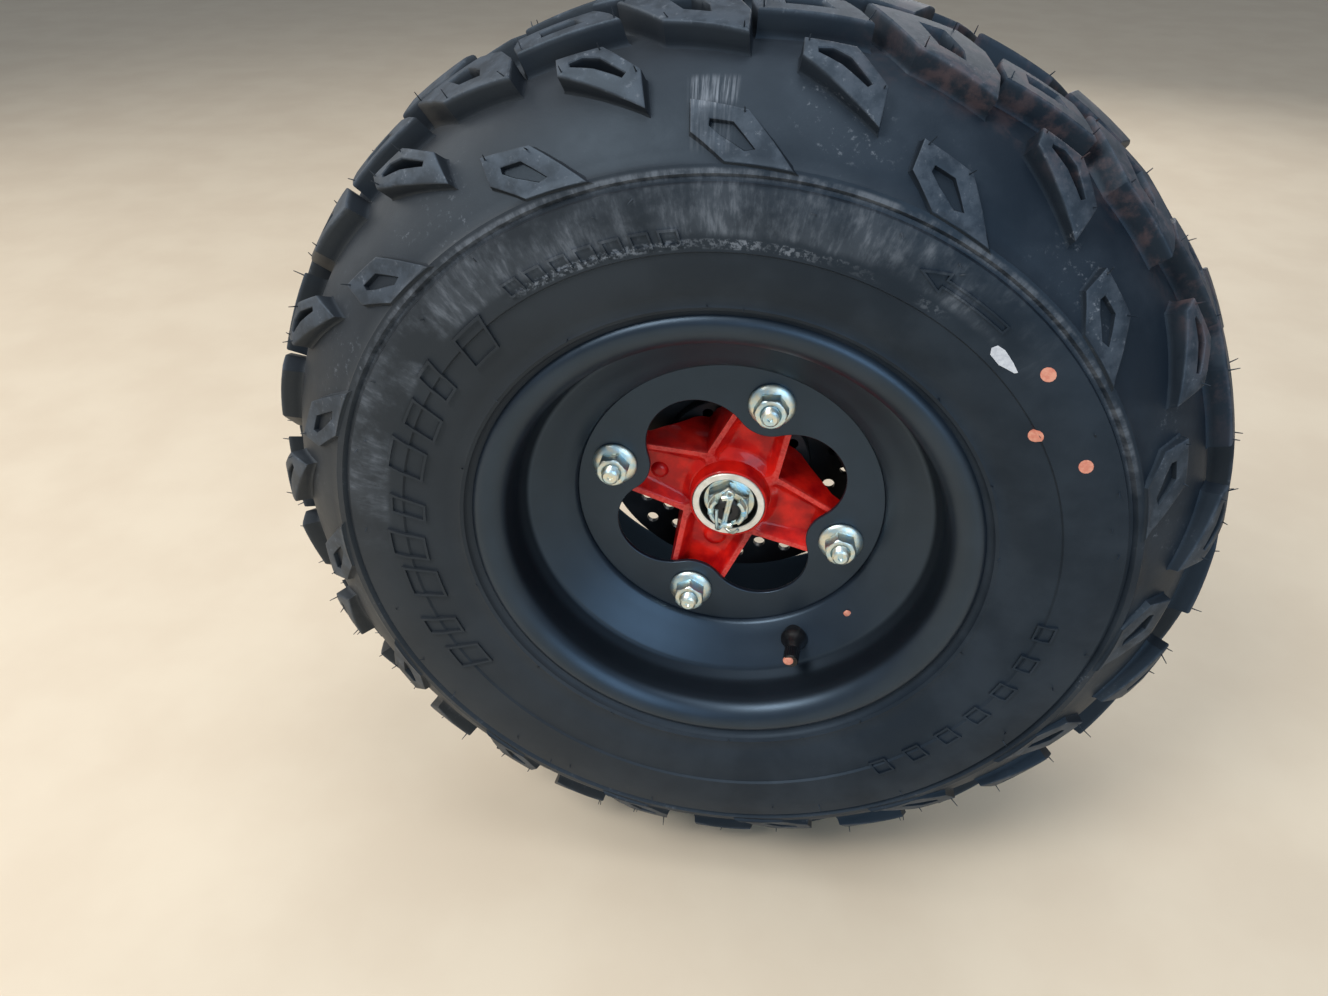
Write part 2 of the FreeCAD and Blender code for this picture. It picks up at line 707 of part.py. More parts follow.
def make_gussets(body, plane, start, end):
    """The wedges behind two opposite arms, which carry them on the barrel."""
    rows = [(start, "gusset_root"), (start, "gusset_reach"), (end, "gusset_foot"), (end, "gusset_root")]
    sketch = new_sketch(body, plane)
    for side in ("", "-"):
        corners = [(along, side + reach) for along, reach in rows]
        if plane == "XY_Plane":
            corners = [(reach, along) for along, reach in corners]
        add_outline(sketch, corners)
    raise_sketch(body, sketch, "2 * arm_tip_half", both=True)


def make_bearings():
    for name in ("outer_bearing", "inner_bearing"):
        start = "-outer_bearing_face" if name == "outer_bearing" else "inner_bearing_face"
        ring(name, name + "_bore", name + "_radius", start, name + "_width")
    ring_seat = "-outer_bearing_face - side_gap"
    ring("dust_ring", "dust_ring_bore", "dust_ring_radius", "-nose_face - dust_ring_proud",
         "nose_face + dust_ring_proud + (%s)" % ring_seat)
    seal_start = "(inner_bearing_face + inner_bearing_width)"
    ring("hub_seal", "seal_bore", "inner_bearing_radius", seal_start, "hub_end - %s" % seal_start)


def make_brake_disc():
    """The drilled disc, its holes in slanting rows, and the bolts that hold it to the hub."""
    body = ring("brake_disc", "brake_disc_bore", "brake_disc_radius", "brake_disc_face", "brake_disc_wall")
    back = "brake_disc_face + brake_disc_wall"
    vents = []
    for row in range(VENT_ROWS):
        for step in range(VENTS_IN_ROW):
            circle = "(vent_first_circle + %d * vent_circle_step)" % step
            turn = "(vent_start + %s - %d * vent_lag)" % (360 * row / VENT_ROWS, step)
            place_of = turned(circle, "0", "sin(%s)" % turn, "cos(%s)" % turn)
            vents.append(place_of + ("vent_hole_radius",))
    pad_circles(body, vents, "brake_disc_face", "brake_disc_wall", cut=True)
    bolts = []
    for turn in (45, 135, 225, 315):
        spot = turned("disc_bolt_circle", "0", "cos(stud_angle + %d)" % turn, "-sin(stud_angle + %d)" % turn)
        bolts.append(spot + ("disc_bolt_radius",))
    pad_circles(body, bolts, "brake_disc_face", "brake_disc_wall", cut=True)

    group = new_body("disc_bolts")
    pad_circles(group, bolts, "brake_disc_face - hub_flange_wall", "hub_flange_wall + brake_disc_wall")
    heads = [bolt[:2] + ("disc_bolt_head_radius",) for bolt in bolts]
    pad_circles(group, heads, back, "disc_bolt_head_height")
    place(group)


def make_valve():
    """A rubber stem with a button inside the tyre, and a cap on its thread."""
    stem = new_body("valve_stem")
    button = "(-valve_foot - valve_button)"
    shoulder = "(-valve_tip + valve_cap_length)"
    thread_end = "(-valve_tip + valve_cap_roof)"
    turn_outline(stem, [
        (thread_end, "0"),
        (thread_end, "valve_thread_radius"),
        (shoulder, "valve_thread_radius"),
        (shoulder + " + valve_neck", "valve_radius"),
        (button, "valve_radius"),
        (button, "valve_button_radius"),
        ("-valve_foot", "valve_button_radius"),
        ("-valve_foot", "0"),
    ])
    place_clock(stem, "valve_circle", "valve_angle")
    cap = new_body("valve_cap")
    turn_outline(cap, [
        ("-valve_tip", "0"),
        ("-valve_tip", "valve_cap_radius - 1"),
        ("-valve_tip + 1", "valve_cap_radius"),
        (shoulder, "valve_cap_radius"),
        (shoulder, "valve_thread_radius"),
        (thread_end, "valve_thread_radius"),
        (thread_end, "0"),
    ])
    place_clock(cap, "valve_circle", "valve_angle")


def make_spindle():
    """The fixed axle: thread, two bearing seats, seal land, flange and the shank in the knuckle."""
    body = new_body("spindle")
    outer_seat = "outer_bearing_bore - running_gap"
    inner_seat = "inner_bearing_bore - running_gap"
    outer_end = "-outer_bearing_face + outer_bearing_width + 1"
    inner_end = "inner_bearing_face + inner_bearing_width + side_gap"
    turn_outline(body, [
        ("-spindle_end", "0"),
        ("-spindle_end", "spindle_thread - 1"),
        ("-spindle_end + 1", "spindle_thread"),
        ("-outer_bearing_face - side_gap", "spindle_thread"),
        ("-outer_bearing_face - side_gap", outer_seat),
        (outer_end, outer_seat),
        (outer_end + " + 1", inner_seat),
        (inner_end, inner_seat),
        (inner_end, "seal_bore - running_gap"),
        ("spindle_flange_start", "seal_bore - running_gap"),
        ("spindle_flange_start", "spindle_flange_radius"),
        ("knuckle_face", "spindle_flange_radius"),
        ("knuckle_face", "spindle_shank"),
        ("knuckle_back", "spindle_shank"),
        ("knuckle_back", "0"),
    ])
    sketch = new_sketch(body, "XY_Plane")
    add_circle(sketch, "0", COTTER_PLACE, "cotter_radius + cotter_hole_gap")
    raise_sketch(body, sketch, "2.2 * spindle_thread", both=True, cut=True)
    place(body, turn="stud_angle")


def make_axle_nut():
    """The washer, the slotted nut and the split pin that locks it."""
    nut_start = "-" + WASHER_FACE
    ring("axle_washer", "spindle_thread", "washer_radius", nut_start, "washer_wall")
    nut = new_body("castle_nut")
    crown = "(%s - castle_hex_height)" % nut_start
    top = "(%s - castle_crown_height)" % crown
    pad_outline(nut, hexagon("castle_width"), crown, "castle_hex_height")
    pad_circles(nut, [("0", "0", "castle_crown_radius")], top, "castle_crown_height")
    height = "castle_hex_height + castle_crown_height"
    pad_circles(nut, [("0", "0", "spindle_thread")], top, height, cut=True)
    reach = "1.2 * castle_crown_radius"
    for turn in range(0, 180, 360 // CASTLE_SLOTS):
        slot = []
        for along, aside in ((-1, -1), (1, -1), (1, 1), (-1, 1)):
            spot = ("%d * %s" % (along, reach), "%d * castle_slot / 2" % aside)
            slot.append(turned(*spot, "cos(%d)" % turn, "sin(%d)" % turn))
        pad_outline(nut, slot, top, "castle_crown_height", cut=True)
    place(nut, turn="stud_angle + 30")

    shank = doc.addObject("Part::Cylinder", "cotter_shank")
    bind(shank, "Radius", "cotter_radius")
    bind(shank, "Height", "2 * cotter_reach")
    bind(shank, "Placement.Base.z", "-cotter_reach")
    eye = doc.addObject("Part::Torus", "cotter_eye")
    bind(eye, "Radius1", "cotter_eye")
    bind(eye, "Radius2", "cotter_eye_wire")
    eye.Placement.Rotation = FreeCAD.Rotation(FreeCAD.Vector(1, 0, 0), 90)
    bind(eye, "Placement.Base.z", "cotter_reach + cotter_eye_rise")
    pin = doc.addObject("Part::MultiFuse", "cotter_pin")
    pin.Label = "cotter_pin"
    pin.Shapes = [shank, eye]
    pin.Placement.Rotation = FreeCAD.Rotation(FreeCAD.Vector(0, 1, 0), 1)
    bind(pin, "Placement.Rotation.Angle", "stud_angle")
    bind(pin, "Placement.Base.y", "%s - ball_reach" % COTTER_PLACE)
    bind(pin, "Placement.Base.z", "lower_ball_drop")
    PIECES.append(pin)


def caliper_corner(aside, along):
    """A place given across and out along the caliper's own direction, as X and Z."""
    return ("(%s) * cos(caliper_angle) + (%s) * sin(caliper_angle)" % (aside, along),
            "(%s) * cos(caliper_angle) - (%s) * sin(caliper_angle)" % (along, aside))


def make_knuckle():
    """A forging: boss for the spindle, a bowed web up and down to the ball joints, and the steering arm."""
    body = new_body("knuckle")
    turn_outline(body, [
        ("knuckle_face", "spindle_shank"),
        ("knuckle_face", "knuckle_boss"),
        ("knuckle_back", "knuckle_boss"),
        ("knuckle_back", "spindle_shank"),
    ])
    sketch = new_sketch(body, "YZ_Plane")
    half = "(ball_boss_height / 2 - knuckle_edge)"
    upper_top = "upper_ball_rise + " + half
    upper_low = "upper_ball_rise - " + half
    lower_low = "-(lower_ball_drop + %s)" % half
    lower_top = "-(lower_ball_drop - %s)" % half
    add_outline(sketch, [
        ("web_face", "-knuckle_boss + knuckle_edge"),
        ("web_face", "knuckle_boss - knuckle_edge"),
        ("knuckle_face + knuckle_bow", "upper_ball_rise - knuckle_bow"),
        ("ball_reach - ball_arm_start", upper_top),
        ("ball_reach - ball_arm_end", upper_top),
        ("ball_reach - ball_arm_end", upper_low),
        ("ball_reach - ball_arm_throat", upper_low),
        ("knuckle_back - knuckle_step", "knuckle_boss + knuckle_spread"),
        ("knuckle_back - knuckle_step", "-knuckle_boss - knuckle_spread"),
        ("ball_reach - ball_arm_throat", lower_top),
        ("ball_reach - ball_arm_end", lower_top),
        ("ball_reach - ball_arm_end", lower_low),
        ("ball_reach - ball_arm_start", lower_low),
        ("knuckle_face + knuckle_bow", "-lower_ball_drop + knuckle_bow"),
    ])
    raise_sketch(body, sketch, "knuckle_web", both=True)
    for height in ("upper_ball_rise", "-lower_ball_drop"):
        sketch = new_sketch(body, "XY_Plane", "%s - ball_boss_height / 2" % height)
        add_circle(sketch, "0", "ball_reach", "ball_boss_radius")
        raise_sketch(body, sketch, "ball_boss_height")

    sketch = new_sketch(body, "XY_Plane", "steering_arm_height - steering_arm_depth / 2")
    add_outline(sketch, [
        ("0", "knuckle_face + steering_arm_root"),
        ("-steering_arm_forward", "ball_reach - tie_rod_boss"),
        ("-steering_arm_forward - tie_rod_boss", "ball_reach", "tie_rod_boss"),
        ("-steering_arm_forward", "ball_reach + tie_rod_boss", "tie_rod_boss"),
        ("0", "knuckle_back - knuckle_edge"),
    ])
    raise_sketch(body, sketch, "steering_arm_depth")

    ears = []
    for side, along in ((-1, "0"), (-1, "ear_height + ear_boss"), (1, "ear_height + ear_boss"), (1, "0")):
        ears.append(caliper_corner("%d * (ear_spacing + ear_boss)" % side, along))
    pad_outline(body, ears, "bracket_face + bracket_wall", "bracket_wall + knuckle_edge")

    depth = "knuckle_back - knuckle_face"
    pad_circles(body, [("0", "0", "spindle_shank")], "knuckle_face", depth, cut=True)
    places = [caliper_corner("%d * ear_spacing" % side, "ear_height") for side in (-1, 1)]
    holes = [spot + ("ear_bolt_radius",) for spot in places]
    pad_circles(body, holes, "bracket_face", "knuckle_back - bracket_face", cut=True)
    for height in ("upper_ball_rise", "-lower_ball_drop"):
        sketch = new_sketch(body, "XY_Plane", "%s + ball_boss_height / 2" % height)
        add_circle(sketch, "0", "ball_reach", "ball_bore")
        raise_sketch(body, sketch, "ball_boss_height", cut=True)
    sketch = new_sketch(body, "XY_Plane", "steering_arm_height + steering_arm_depth / 2")
    add_circle(sketch, "-steering_arm_forward", "ball_reach", "tie_rod_bore")
    raise_sketch(body, sketch, "steering_arm_depth", cut=True)
    place(body)


def make_caliper():
    """A floating caliper: bracket, slide pins, body with its finger over the disc, and two pads."""
    disc_back = "(brake_disc_face + brake_disc_wall)"
    outer_pad = "(brake_disc_face - pad_gap - lining - pad_plate)"
    inner_pad = "(%s + pad_gap)" % disc_back
    housing = "(%s + lining + pad_plate)" % inner_pad
    arm_in = "(caliper_half_width + bracket_gap)"
    arm_out = "(%s + bracket_arm)" % arm_in

    bracket = new_body("caliper_bracket")
    pad_outline(bracket, [
        ("-" + arm_out, "ear_height - ear_boss"),
        ("-" + arm_out, "pad_top"),
        ("-" + arm_in, "pad_top"),
        ("-" + arm_in, "caliper_bottom - bracket_gap"),
        (arm_in, "caliper_bottom - bracket_gap"),
        (arm_in, "pad_top"),
        (arm_out, "pad_top"),
        (arm_out, "ear_height - ear_boss"),
    ], "bracket_face", "bracket_wall")
    sides = ["%d * (%s + bracket_arm / 2)" % (side, arm_in) for side in (-1, 1)]
    pins = [(side, "slide_pin_height", "slide_pin_radius") for side in sides]
    pad_circles(bracket, pins, "bracket_face", "bracket_wall", cut=True)
    bolts = [("%d * ear_spacing" % side, "ear_height", "ear_bolt_radius") for side in (-1, 1)]
    pad_circles(bracket, bolts, "bracket_face", "bracket_wall", cut=True)
    place(bracket, turn="caliper_angle")

    caliper = new_body("caliper_body")
    sketch = new_sketch(caliper, "YZ_Plane")
    add_outline(sketch, [
        ("finger_face", "caliper_bottom + finger_bevel"),
        ("finger_face", "caliper_top - finger_bevel"),
        ("finger_face + finger_bevel", "caliper_top"),
        ("caliper_back - caliper_bevel", "caliper_top"),
        ("caliper_back", "caliper_top - caliper_bevel"),
        ("caliper_back", "caliper_bottom + caliper_foot_bevel"),
        ("caliper_back - caliper_foot_bevel", "caliper_bottom"),
        (housing, "caliper_bottom"),
        (housing, "caliper_top - caliper_bridge"),
        (outer_pad, "caliper_top - caliper_bridge"),
        (outer_pad, "caliper_bottom + finger_bevel"),
    ])
    raise_sketch(caliper, sketch, "2 * caliper_half_width", both=True)
    ear_start = "bracket_face + bracket_wall"
    pad_outline(caliper, [
        ("-" + arm_out, "slide_pin_height - slide_ear_half"),
        ("-" + arm_out, "slide_pin_height + slide_ear_half"),
        (arm_out, "slide_pin_height + slide_ear_half"),
        (arm_out, "slide_pin_height - slide_ear_half"),
    ], ear_start, "bracket_wall")
    pad_circles(caliper, pins, ear_start, "bracket_wall", cut=True)
    port = [("0", "(caliper_bottom + caliper_top) / 2", "hose_port_radius")]
    pad_circles(caliper, port, "caliper_back - hose_port_depth", "hose_port_depth", cut=True)
    place(caliper, turn="caliper_angle")

    group = new_body("slide_pins")
    pad_circles(group, pins, "bracket_face", "2 * bracket_wall")
    heads = [pin[:2] + ("bolt_head_radius",) for pin in pins]
    pad_circles(group, heads, ear_start + " + bracket_wall", "bolt_head_height")
    place(group, turn="caliper_angle")

    group = new_body("caliper_bolts")
    pad_circles(group, bolts, "bracket_face", "2 * bracket_wall + knuckle_edge")
    heads = [bolt[:2] + ("bolt_head_radius",) for bolt in bolts]
    pad_circles(group, heads, "bracket_face - bolt_head_height", "bolt_head_height")
    place(group, turn="caliper_angle")

    for label, plate, lining_start in (("brake_pad_outboard", outer_pad, outer_pad + " + pad_plate"),
                                       ("brake_pad_inboard", inner_pad + " + lining", inner_pad)):
        pad = new_body(label)
        pad_outline(pad, pad_corners("0"), plate, "pad_plate")
        pad_outline(pad, pad_corners("lining_inset"), lining_start, "lining")
        place(pad, turn="caliper_angle")

    bleed = new_body("bleed_screw")
    sketch = new_sketch(bleed, "XY_Plane", "caliper_top")
    add_circle(sketch, "caliper_half_width - bleed_inset", "caliper_back - bleed_setback", "bleed_radius")
    raise_sketch(bleed, sketch, "bleed_length")
    place(bleed, turn="caliper_angle")


def pad_corners(inset):
    """A brake pad's outline, smaller all round by the inset."""
    return [
        ("-(pad_half_width - pad_taper - %s)" % inset, "pad_bottom + %s" % inset),
        ("-(pad_half_width - %s)" % inset, "pad_top - %s" % inset),
        ("pad_half_width - %s" % inset, "pad_top - %s" % inset),
        ("pad_half_width - pad_taper - %s" % inset, "pad_bottom + %s" % inset),
    ]


make_tyre()
make_rim_barrel()
make_wheel_disc()
make_hub()
make_studs_and_nuts()
make_bearings()
make_brake_disc()
make_valve()
make_spindle()
make_axle_nut()
make_knuckle()
make_caliper()
doc.recompute()

for thing in doc.Objects:
    if "Invalid" in thing.State or "Error" in thing.State:
        raise RuntimeError("%s did not rebuild: %s" % (thing.Label, thing.State))
for piece in PIECES:
    if piece.Shape.isNull() or not piece.Shape.isValid() or not piece.Shape.Solids:
        raise RuntimeError("%s has no sound solid" % piece.Label)

os.makedirs("parts", exist_ok=True)
for piece in PIECES:
    piece.Shape.exportStep("parts/%s.step" % piece.Label)
    print("%-20s %8.0f mm3 %s" % (piece.Label, piece.Shape.Volume, piece.Shape.BoundBox))
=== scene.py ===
import json
import math
import random

import bmesh
import bpy
from mathutils import Euler, Matrix, Vector
from mathutils.geometry import interpolate_bezier


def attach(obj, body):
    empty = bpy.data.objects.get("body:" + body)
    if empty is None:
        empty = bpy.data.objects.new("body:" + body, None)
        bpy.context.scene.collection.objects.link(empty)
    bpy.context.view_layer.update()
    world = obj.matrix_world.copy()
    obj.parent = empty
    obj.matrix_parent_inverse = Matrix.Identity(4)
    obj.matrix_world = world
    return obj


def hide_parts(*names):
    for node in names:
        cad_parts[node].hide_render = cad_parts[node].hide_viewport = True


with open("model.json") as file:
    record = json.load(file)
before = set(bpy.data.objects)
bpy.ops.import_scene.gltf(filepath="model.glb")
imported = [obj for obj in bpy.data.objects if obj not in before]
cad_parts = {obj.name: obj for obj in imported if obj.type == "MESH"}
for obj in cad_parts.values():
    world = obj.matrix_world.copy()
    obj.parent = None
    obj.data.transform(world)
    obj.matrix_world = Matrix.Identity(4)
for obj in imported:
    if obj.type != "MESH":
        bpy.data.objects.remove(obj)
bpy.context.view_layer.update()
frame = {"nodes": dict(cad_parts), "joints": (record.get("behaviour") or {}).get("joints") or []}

# Shapes are drawn in millimetres about the wheel's centre: x to the rear, y inboard along the axle, z up.
# A clock angle is 0 at the top and 90 to the rear. A place across is a y.
MM = 0.001
AXLE = Vector(frame["joints"][0]["pos_m"])
FLOOR = -0.2045
MERGE = 0.005

PITCHES = 15
PITCH = 360 / PITCHES
STUD_CLOCKS = (17.8, 107.8, 197.8, 287.8)
STUD_CIRCLE = 72
HUB_FACE = -22.3

# The casing's outboard half from the bead to the middle of the tread, as radius and place across
SIDE = [(143.8, -77), (150, -81), (165, -86), (185, -89), (205, -89), (217, -85.5), (228, -79.5),
        (238, -71.5), (247, -62), (254.5, -50), (259.5, -31), (262, -12), (262.5, 0)]
# How far the rings on the side stand out, by the distance from the bead
RINGS = [(0, 0), (3, 0), (4.5, 1.2), (6.5, 1.2), (8, 0), (36.5, 0), (37.6, 1.2), (67.5, 1.2), (68.6, -0.8),
         (70.6, -0.8), (71.8, 1.9), (75.6, 2.2), (77.4, 0.8), (92, 0)]
CASING_WALL = 7
CROWN_WALL = 11
# Millimetres that a degree of the clock is drawn across, on the tread and on the side
TREAD_DEGREE = 4.4
SIDE_DEGREE = 3.2

# The lugs' height over the casing, by the distance from the middle of the tread
LUG_HEIGHTS = [(0, 16.8), (12, 14.4), (30, 12.8), (50, 11.8), (60, 10.4), (70, 7.9), (80, 5.6), (90, 3.6),
               (105, 1.7), (120, 0.6)]
LUG_DRAWN = 10             # the height that every lug is drawn with
LUG_SUNK = 1.5             # how deep its foot lies in the casing
LUG_FOOT = 1.5             # the lowest part of it, which keeps its height
# How far each step of a lug's wall draws in, and how far it rises
LUG_WALL = [(0.9, 1.7), (0.5, 0.9), (0.2, 1.9), (0.4, 6.3), (0.25, 0.45), (0.45, 0.25)]
# Each lug: its middle by the clock in a pitch, its outline by the clock from there and the distance from
# the bead, then its pocket's outline and the height of the pocket's floor
LUGS = {
    "shoulder_chevron": (
        24, [(-4.5, 100.3), (1.3, 96.3), (6.6, 75.5), (-0.8, 77.2), (-4.5, 88.5)],
        [(-2.7, 93.6), (-0.05, 92.4), (2.7, 81.4), (1.3, 80.2), (-1.4, 86), (-2.8, 90.2)], 1.5),
    "shoulder_block": (
        10, [(-4.1, 126.4), (0.6, 126.4), (4.3, 114.2), (4.5, 100), (-4, 120)],
        [(-2.9, 123.6), (-1.4, 124.6), (0.4, 122.4), (3, 113.8), (2.5, 111.8), (-0.4, 118.2),
         (-2.8, 121.4)], 3.0),
    "crown_long": (
        19.3, [(5.2, 128), (-2.9, 137), (-5, 148), (-8, 163.6), (0.5, 165), (3.4, 156), (5.1, 142)],
        [(-3.4, 158.5), (-0.8, 159.5), (1.3, 148), (1.6, 140), (-1.2, 144)], 5.5),
    "crown_wide": (
        6.3, [(-5.1, 143.6), (5.4, 145.6), (4.2, 153), (2.6, 160), (-5.6, 159), (-5.8, 152)],
        [(-3.2, 156.5), (0.6, 157), (1.9, 150.5), (-2.8, 149.5)], 6),
}
# The lug on the tread's middle, its outline by the clock from there and the distance before the middle
MIDDLE_CLOCK = 13
MIDDLE_LUG = [(-4.5, 10), (2.5, 12), (4.5, -4), (-2.5, -8)]
# Where hairs grow on the lugs, by the clock in a pitch and the distance from the bead, and on the side
LUG_HAIRS = [(6.2, 125.4), (10.4, 125.4), (14, 113.4), (6.4, 120.4), (16.8, 138), (11.8, 162.6),
             (19.4, 164), (24.1, 129.4), (1.6, 145), (11.3, 146.6), (19.9, 99), (25, 95.6)]
SIDE_HAIRS = (7, 60, 64)
BARE_SHARE = 0.25          # the share of the lugs' vents whose hair has broken off

VALVE_RADIUS = 105.5
VALVE_CLOCK = 153.5
VALVE_FOOT = -25.2
VALVE_LEAN = (-2.4, -3.8)  # degrees about x and about z

# An arm seen along the axle, by the distance out along it and aside from its middle
ARM_ROOT = (17, 17)
ARM_STATIONS = (22.5, 27, 31, 35, 40, 46, 52, 58, 64, 72)
ARM_HALF = 22.5            # half its width at the first station
ARM_TAPER = 0.1414
ARM_TIP = [(79.8, 13.4), (85.4, 7.8), (87.5, 0), (85.4, -7.8), (79.8, -13.4)]
POCKET_SIDE = [(22.6, 18.2), (27, 18.7), (40, 17), (62, 13.9), (65.6, 10.8)]
POCKET_END = (66.6, 0)
NOSE_RADIUS = 24.3
NOSE_TURNS = (-38, -26, -13, 0, 13, 26, 38)
# How far each step of the pocket's wall draws in, and how far it sinks
POCKET_WALL = [(0.5, 0.3), (0.7, 1.1), (3, 6), (1.1, 1.4), (1.5, 0.6)]
ARM_FACE = -25
ARM_FALL = 5.5             # how far the ribs sink on their way in to the nose
FALL_START = 62
FALL_RUN = 34
POCKET_FALL = [(ARM_FACE, 1.0), (-16, 0.0)]
# How low an arm's outer wall reaches, by the distance along the arm
ARM_FOOT = [(30, 15), (35, 12), (42, 4), (50, -3), (58, -11), (64, -13)]
DRAFT = 0.11               # the slope of that wall
# The pockets' bosses: the arm's clock, the place along and aside, the radius and the top's place across
BOSSES = [(287.8, 45, -2.5, 5.6, -18.6), (197.8, 35, -2, 7.4, -18.8), (17.8, 57, 7.5, 3.6, -16.6)]

# Black paints: the darker and the paler tone, the roughness, the size of the casting's grain and its height
BLACKS = {
    "disc_black": ((0.016, 0.017, 0.019), (0.030, 0.030, 0.032), 0.34, 1.2, 0.10),
    "knuckle_black": ((0.010, 0.010, 0.011), (0.018, 0.018, 0.019), 0.22, 1.6, 0.16),
    "caliper_silver": ((0.022, 0.022, 0.024), (0.040, 0.040, 0.042), 0.36, 1.4, 0.14),
    "pad_lining": ((0.060, 0.056, 0.050), (0.110, 0.100, 0.090), 0.62, 0.9, 0.12),
    "seal_rubber": ((0.003, 0.003, 0.004), (0.007, 0.007, 0.008), 0.30, 0.8, 0.05),
}
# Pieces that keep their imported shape: the node, its body, its slot and how wide its edges are rounded
DRESSED = [
    ("outer_bearing", "wheel", "bare_steel", 0.4), ("inner_bearing", "wheel", "bare_steel", 0.4),
    ("hub_seal", "wheel", "seal_rubber", 0.6), ("brake_disc", "wheel", "disc_black", 0.35),
    ("disc_bolts", "wheel", "zinc", 0.6), ("knuckle", "root", "knuckle_black", 1.6),
    ("caliper_bracket", "root", "knuckle_black", 0.8), ("caliper_body", "root", "caliper_silver", 1.4),
    ("slide_pins", "root", "zinc", 0.5), ("brake_pad_outboard", "root", "pad_lining", 0.4),
    ("brake_pad_inboard", "root", "pad_lining", 0.4), ("caliper_bolts", "root", "zinc", 0.5),
    ("bleed_screw", "root", "zinc", 0.4),
]
# Each soft lamp: its place, what it points at, its width, power and colour
LAMPS = {
    "overhead": ((0.3, -0.3, 2.4), (0, -0.1, 0), 1.3, 22, (0.94, 0.97, 1.0)),
    "upper_left": ((-1.1, -1.3, 1.9), (0, -0.1, 0.05), 0.9, 40, (1.0, 0.98, 0.95)),
    "left": ((-2.1, 0.3, 1.2), (0, -0.1, 0), 1.5, 18, (1.0, 0.94, 0.86)),
    "front": ((0.9, -2.1, 0.75), (0, -0.1, 0.05), 1.2, 16, (0.60, 0.80, 1.0)),
    "behind": ((0.6, 1.9, 1.1), (0, -0.1, 0.05), 1.2, 14, (1.0, 0.98, 0.95)),
}


class Wire:
    """A node's output, which can be used in sums."""

    def __init__(self, finish, socket):
        self.finish = finish
        self.socket = socket

    def __getitem__(self, output):
        return Wire(self.finish, self.socket.node.outputs[output])

    def __add__(self, other):
        return self.finish.math("ADD", self, other)

    def __rsub__(self, other):
        return self.finish.math("SUBTRACT", other, self)

    def __mul__(self, other):
        return self.finish.math("MULTIPLY", self, other)

    def __pow__(self, other):
        return self.finish.math("POWER", self, other)

    __radd__ = __add__
    __rmul__ = __mul__


class Finish:
    """A material, its shader and the nodes that feed it."""

    def __init__(self, name, **sockets):
        self.material = bpy.data.materials.new(name)
        self.material.use_nodes = True
        self.tree = self.material.node_tree
        self.shader = self.tree.nodes["Principled BSDF"]
        self.feed(**sockets)

    def node(self, kind, settings, sockets):
        """Adds a node, with its settings first and then its sockets' values or links."""
        made = self.tree.nodes.new("ShaderNode" + kind)
        for key, value in settings.items():
            setattr(made, key, value)
        for key, value in sockets.items():
            self.join(made.inputs[key], value)
        return Wire(self, made.outputs[0])

    def join(self, socket, value):
        """Links a socket, or sets its constant."""
        if isinstance(value, Wire):
            self.tree.links.new(value.socket, socket)
        else:
            socket.default_value = value

    def feed(self, **sockets):
        """Links or sets the shader's own sockets."""
        for socket, value in sockets.items():
            self.join(self.shader.inputs[socket.replace("_", " ")], value)

    def math(self, operation, first, second):
        return self.node("Math", {"operation": operation}, {0: first, 1: second})

    def place(self):
        """The place in millimetres from the wheel's centre."""
        here = self.node("TexCoord", {}, {})["Object"]
        shift = [-part / MM for part in AXLE]
        return self.node("Mapping", {}, {"Vector": here, "Location": shift, "Scale": [1 / MM] * 3})

    def split(self, where):
        """A place's three numbers, by the names X, Y and Z."""
        return self.node("SeparateXYZ", {}, {"Vector": where})

    def joined(self, x, y, z=0.0):
        return self.node("CombineXYZ", {}, {"X": x, "Y": y, "Z": z})

    def polar(self, where):
        """The radius from the axle, the clock angle in degrees and the place across."""
        parts = self.split(where)
        x, y, z = parts["X"], parts["Y"], parts["Z"]
        return (x * x + z * z) ** 0.5, self.math("ARCTAN2", x, z) * (180 / math.pi), y

    def raised(self):
        """How high the shape's maker marked each place, 0 at the foot and 1 at the top."""
        return self.node("Attribute", {"attribute_name": "height"}, {})["Fac"]

    def noise(self, where, size, detail, rough=0.55):
        """A cloudy pattern of 0 to 1 whose patches are about so many millimetres."""
        return self.node("TexNoise", {},
                         {"Vector": where, "Scale": 1 / size, "Detail": detail, "Roughness": rough})

    def ramp(self, value, low, high, start=0.0, end=1.0):
        """Goes smoothly from start to end as the value goes from low to high."""
        return self.node("MapRange", {"interpolation_type": "SMOOTHSTEP"},
                         {0: value, 1: low, 2: high, 3: start, 4: end})

    def band(self, value, low, high, soft):
        """1 between low and high, falling to 0 over a soft distance outside."""
        return self.ramp(value, low - soft, low) * self.ramp(value, high, high + soft, 1.0, 0.0)

    def mixed(self, share, first, second):
        """Two colours mixed."""
        first, second = [tone if isinstance(tone, Wire) else (*tone, 1.0) for tone in (first, second)]
        return self.node("Mix", {"data_type": "RGBA"}, {0: share, 6: first, 7: second})[2]

    def bump(self, height, distance, strength, before=None):
        """Raises the surface by a height of 0 to 1 times so many millimetres."""
        sockets = {"Height": height, "Distance": distance * MM, "Strength": strength}
        if before:
            sockets["Normal"] = before
        return self.node("Bump", {}, sockets)


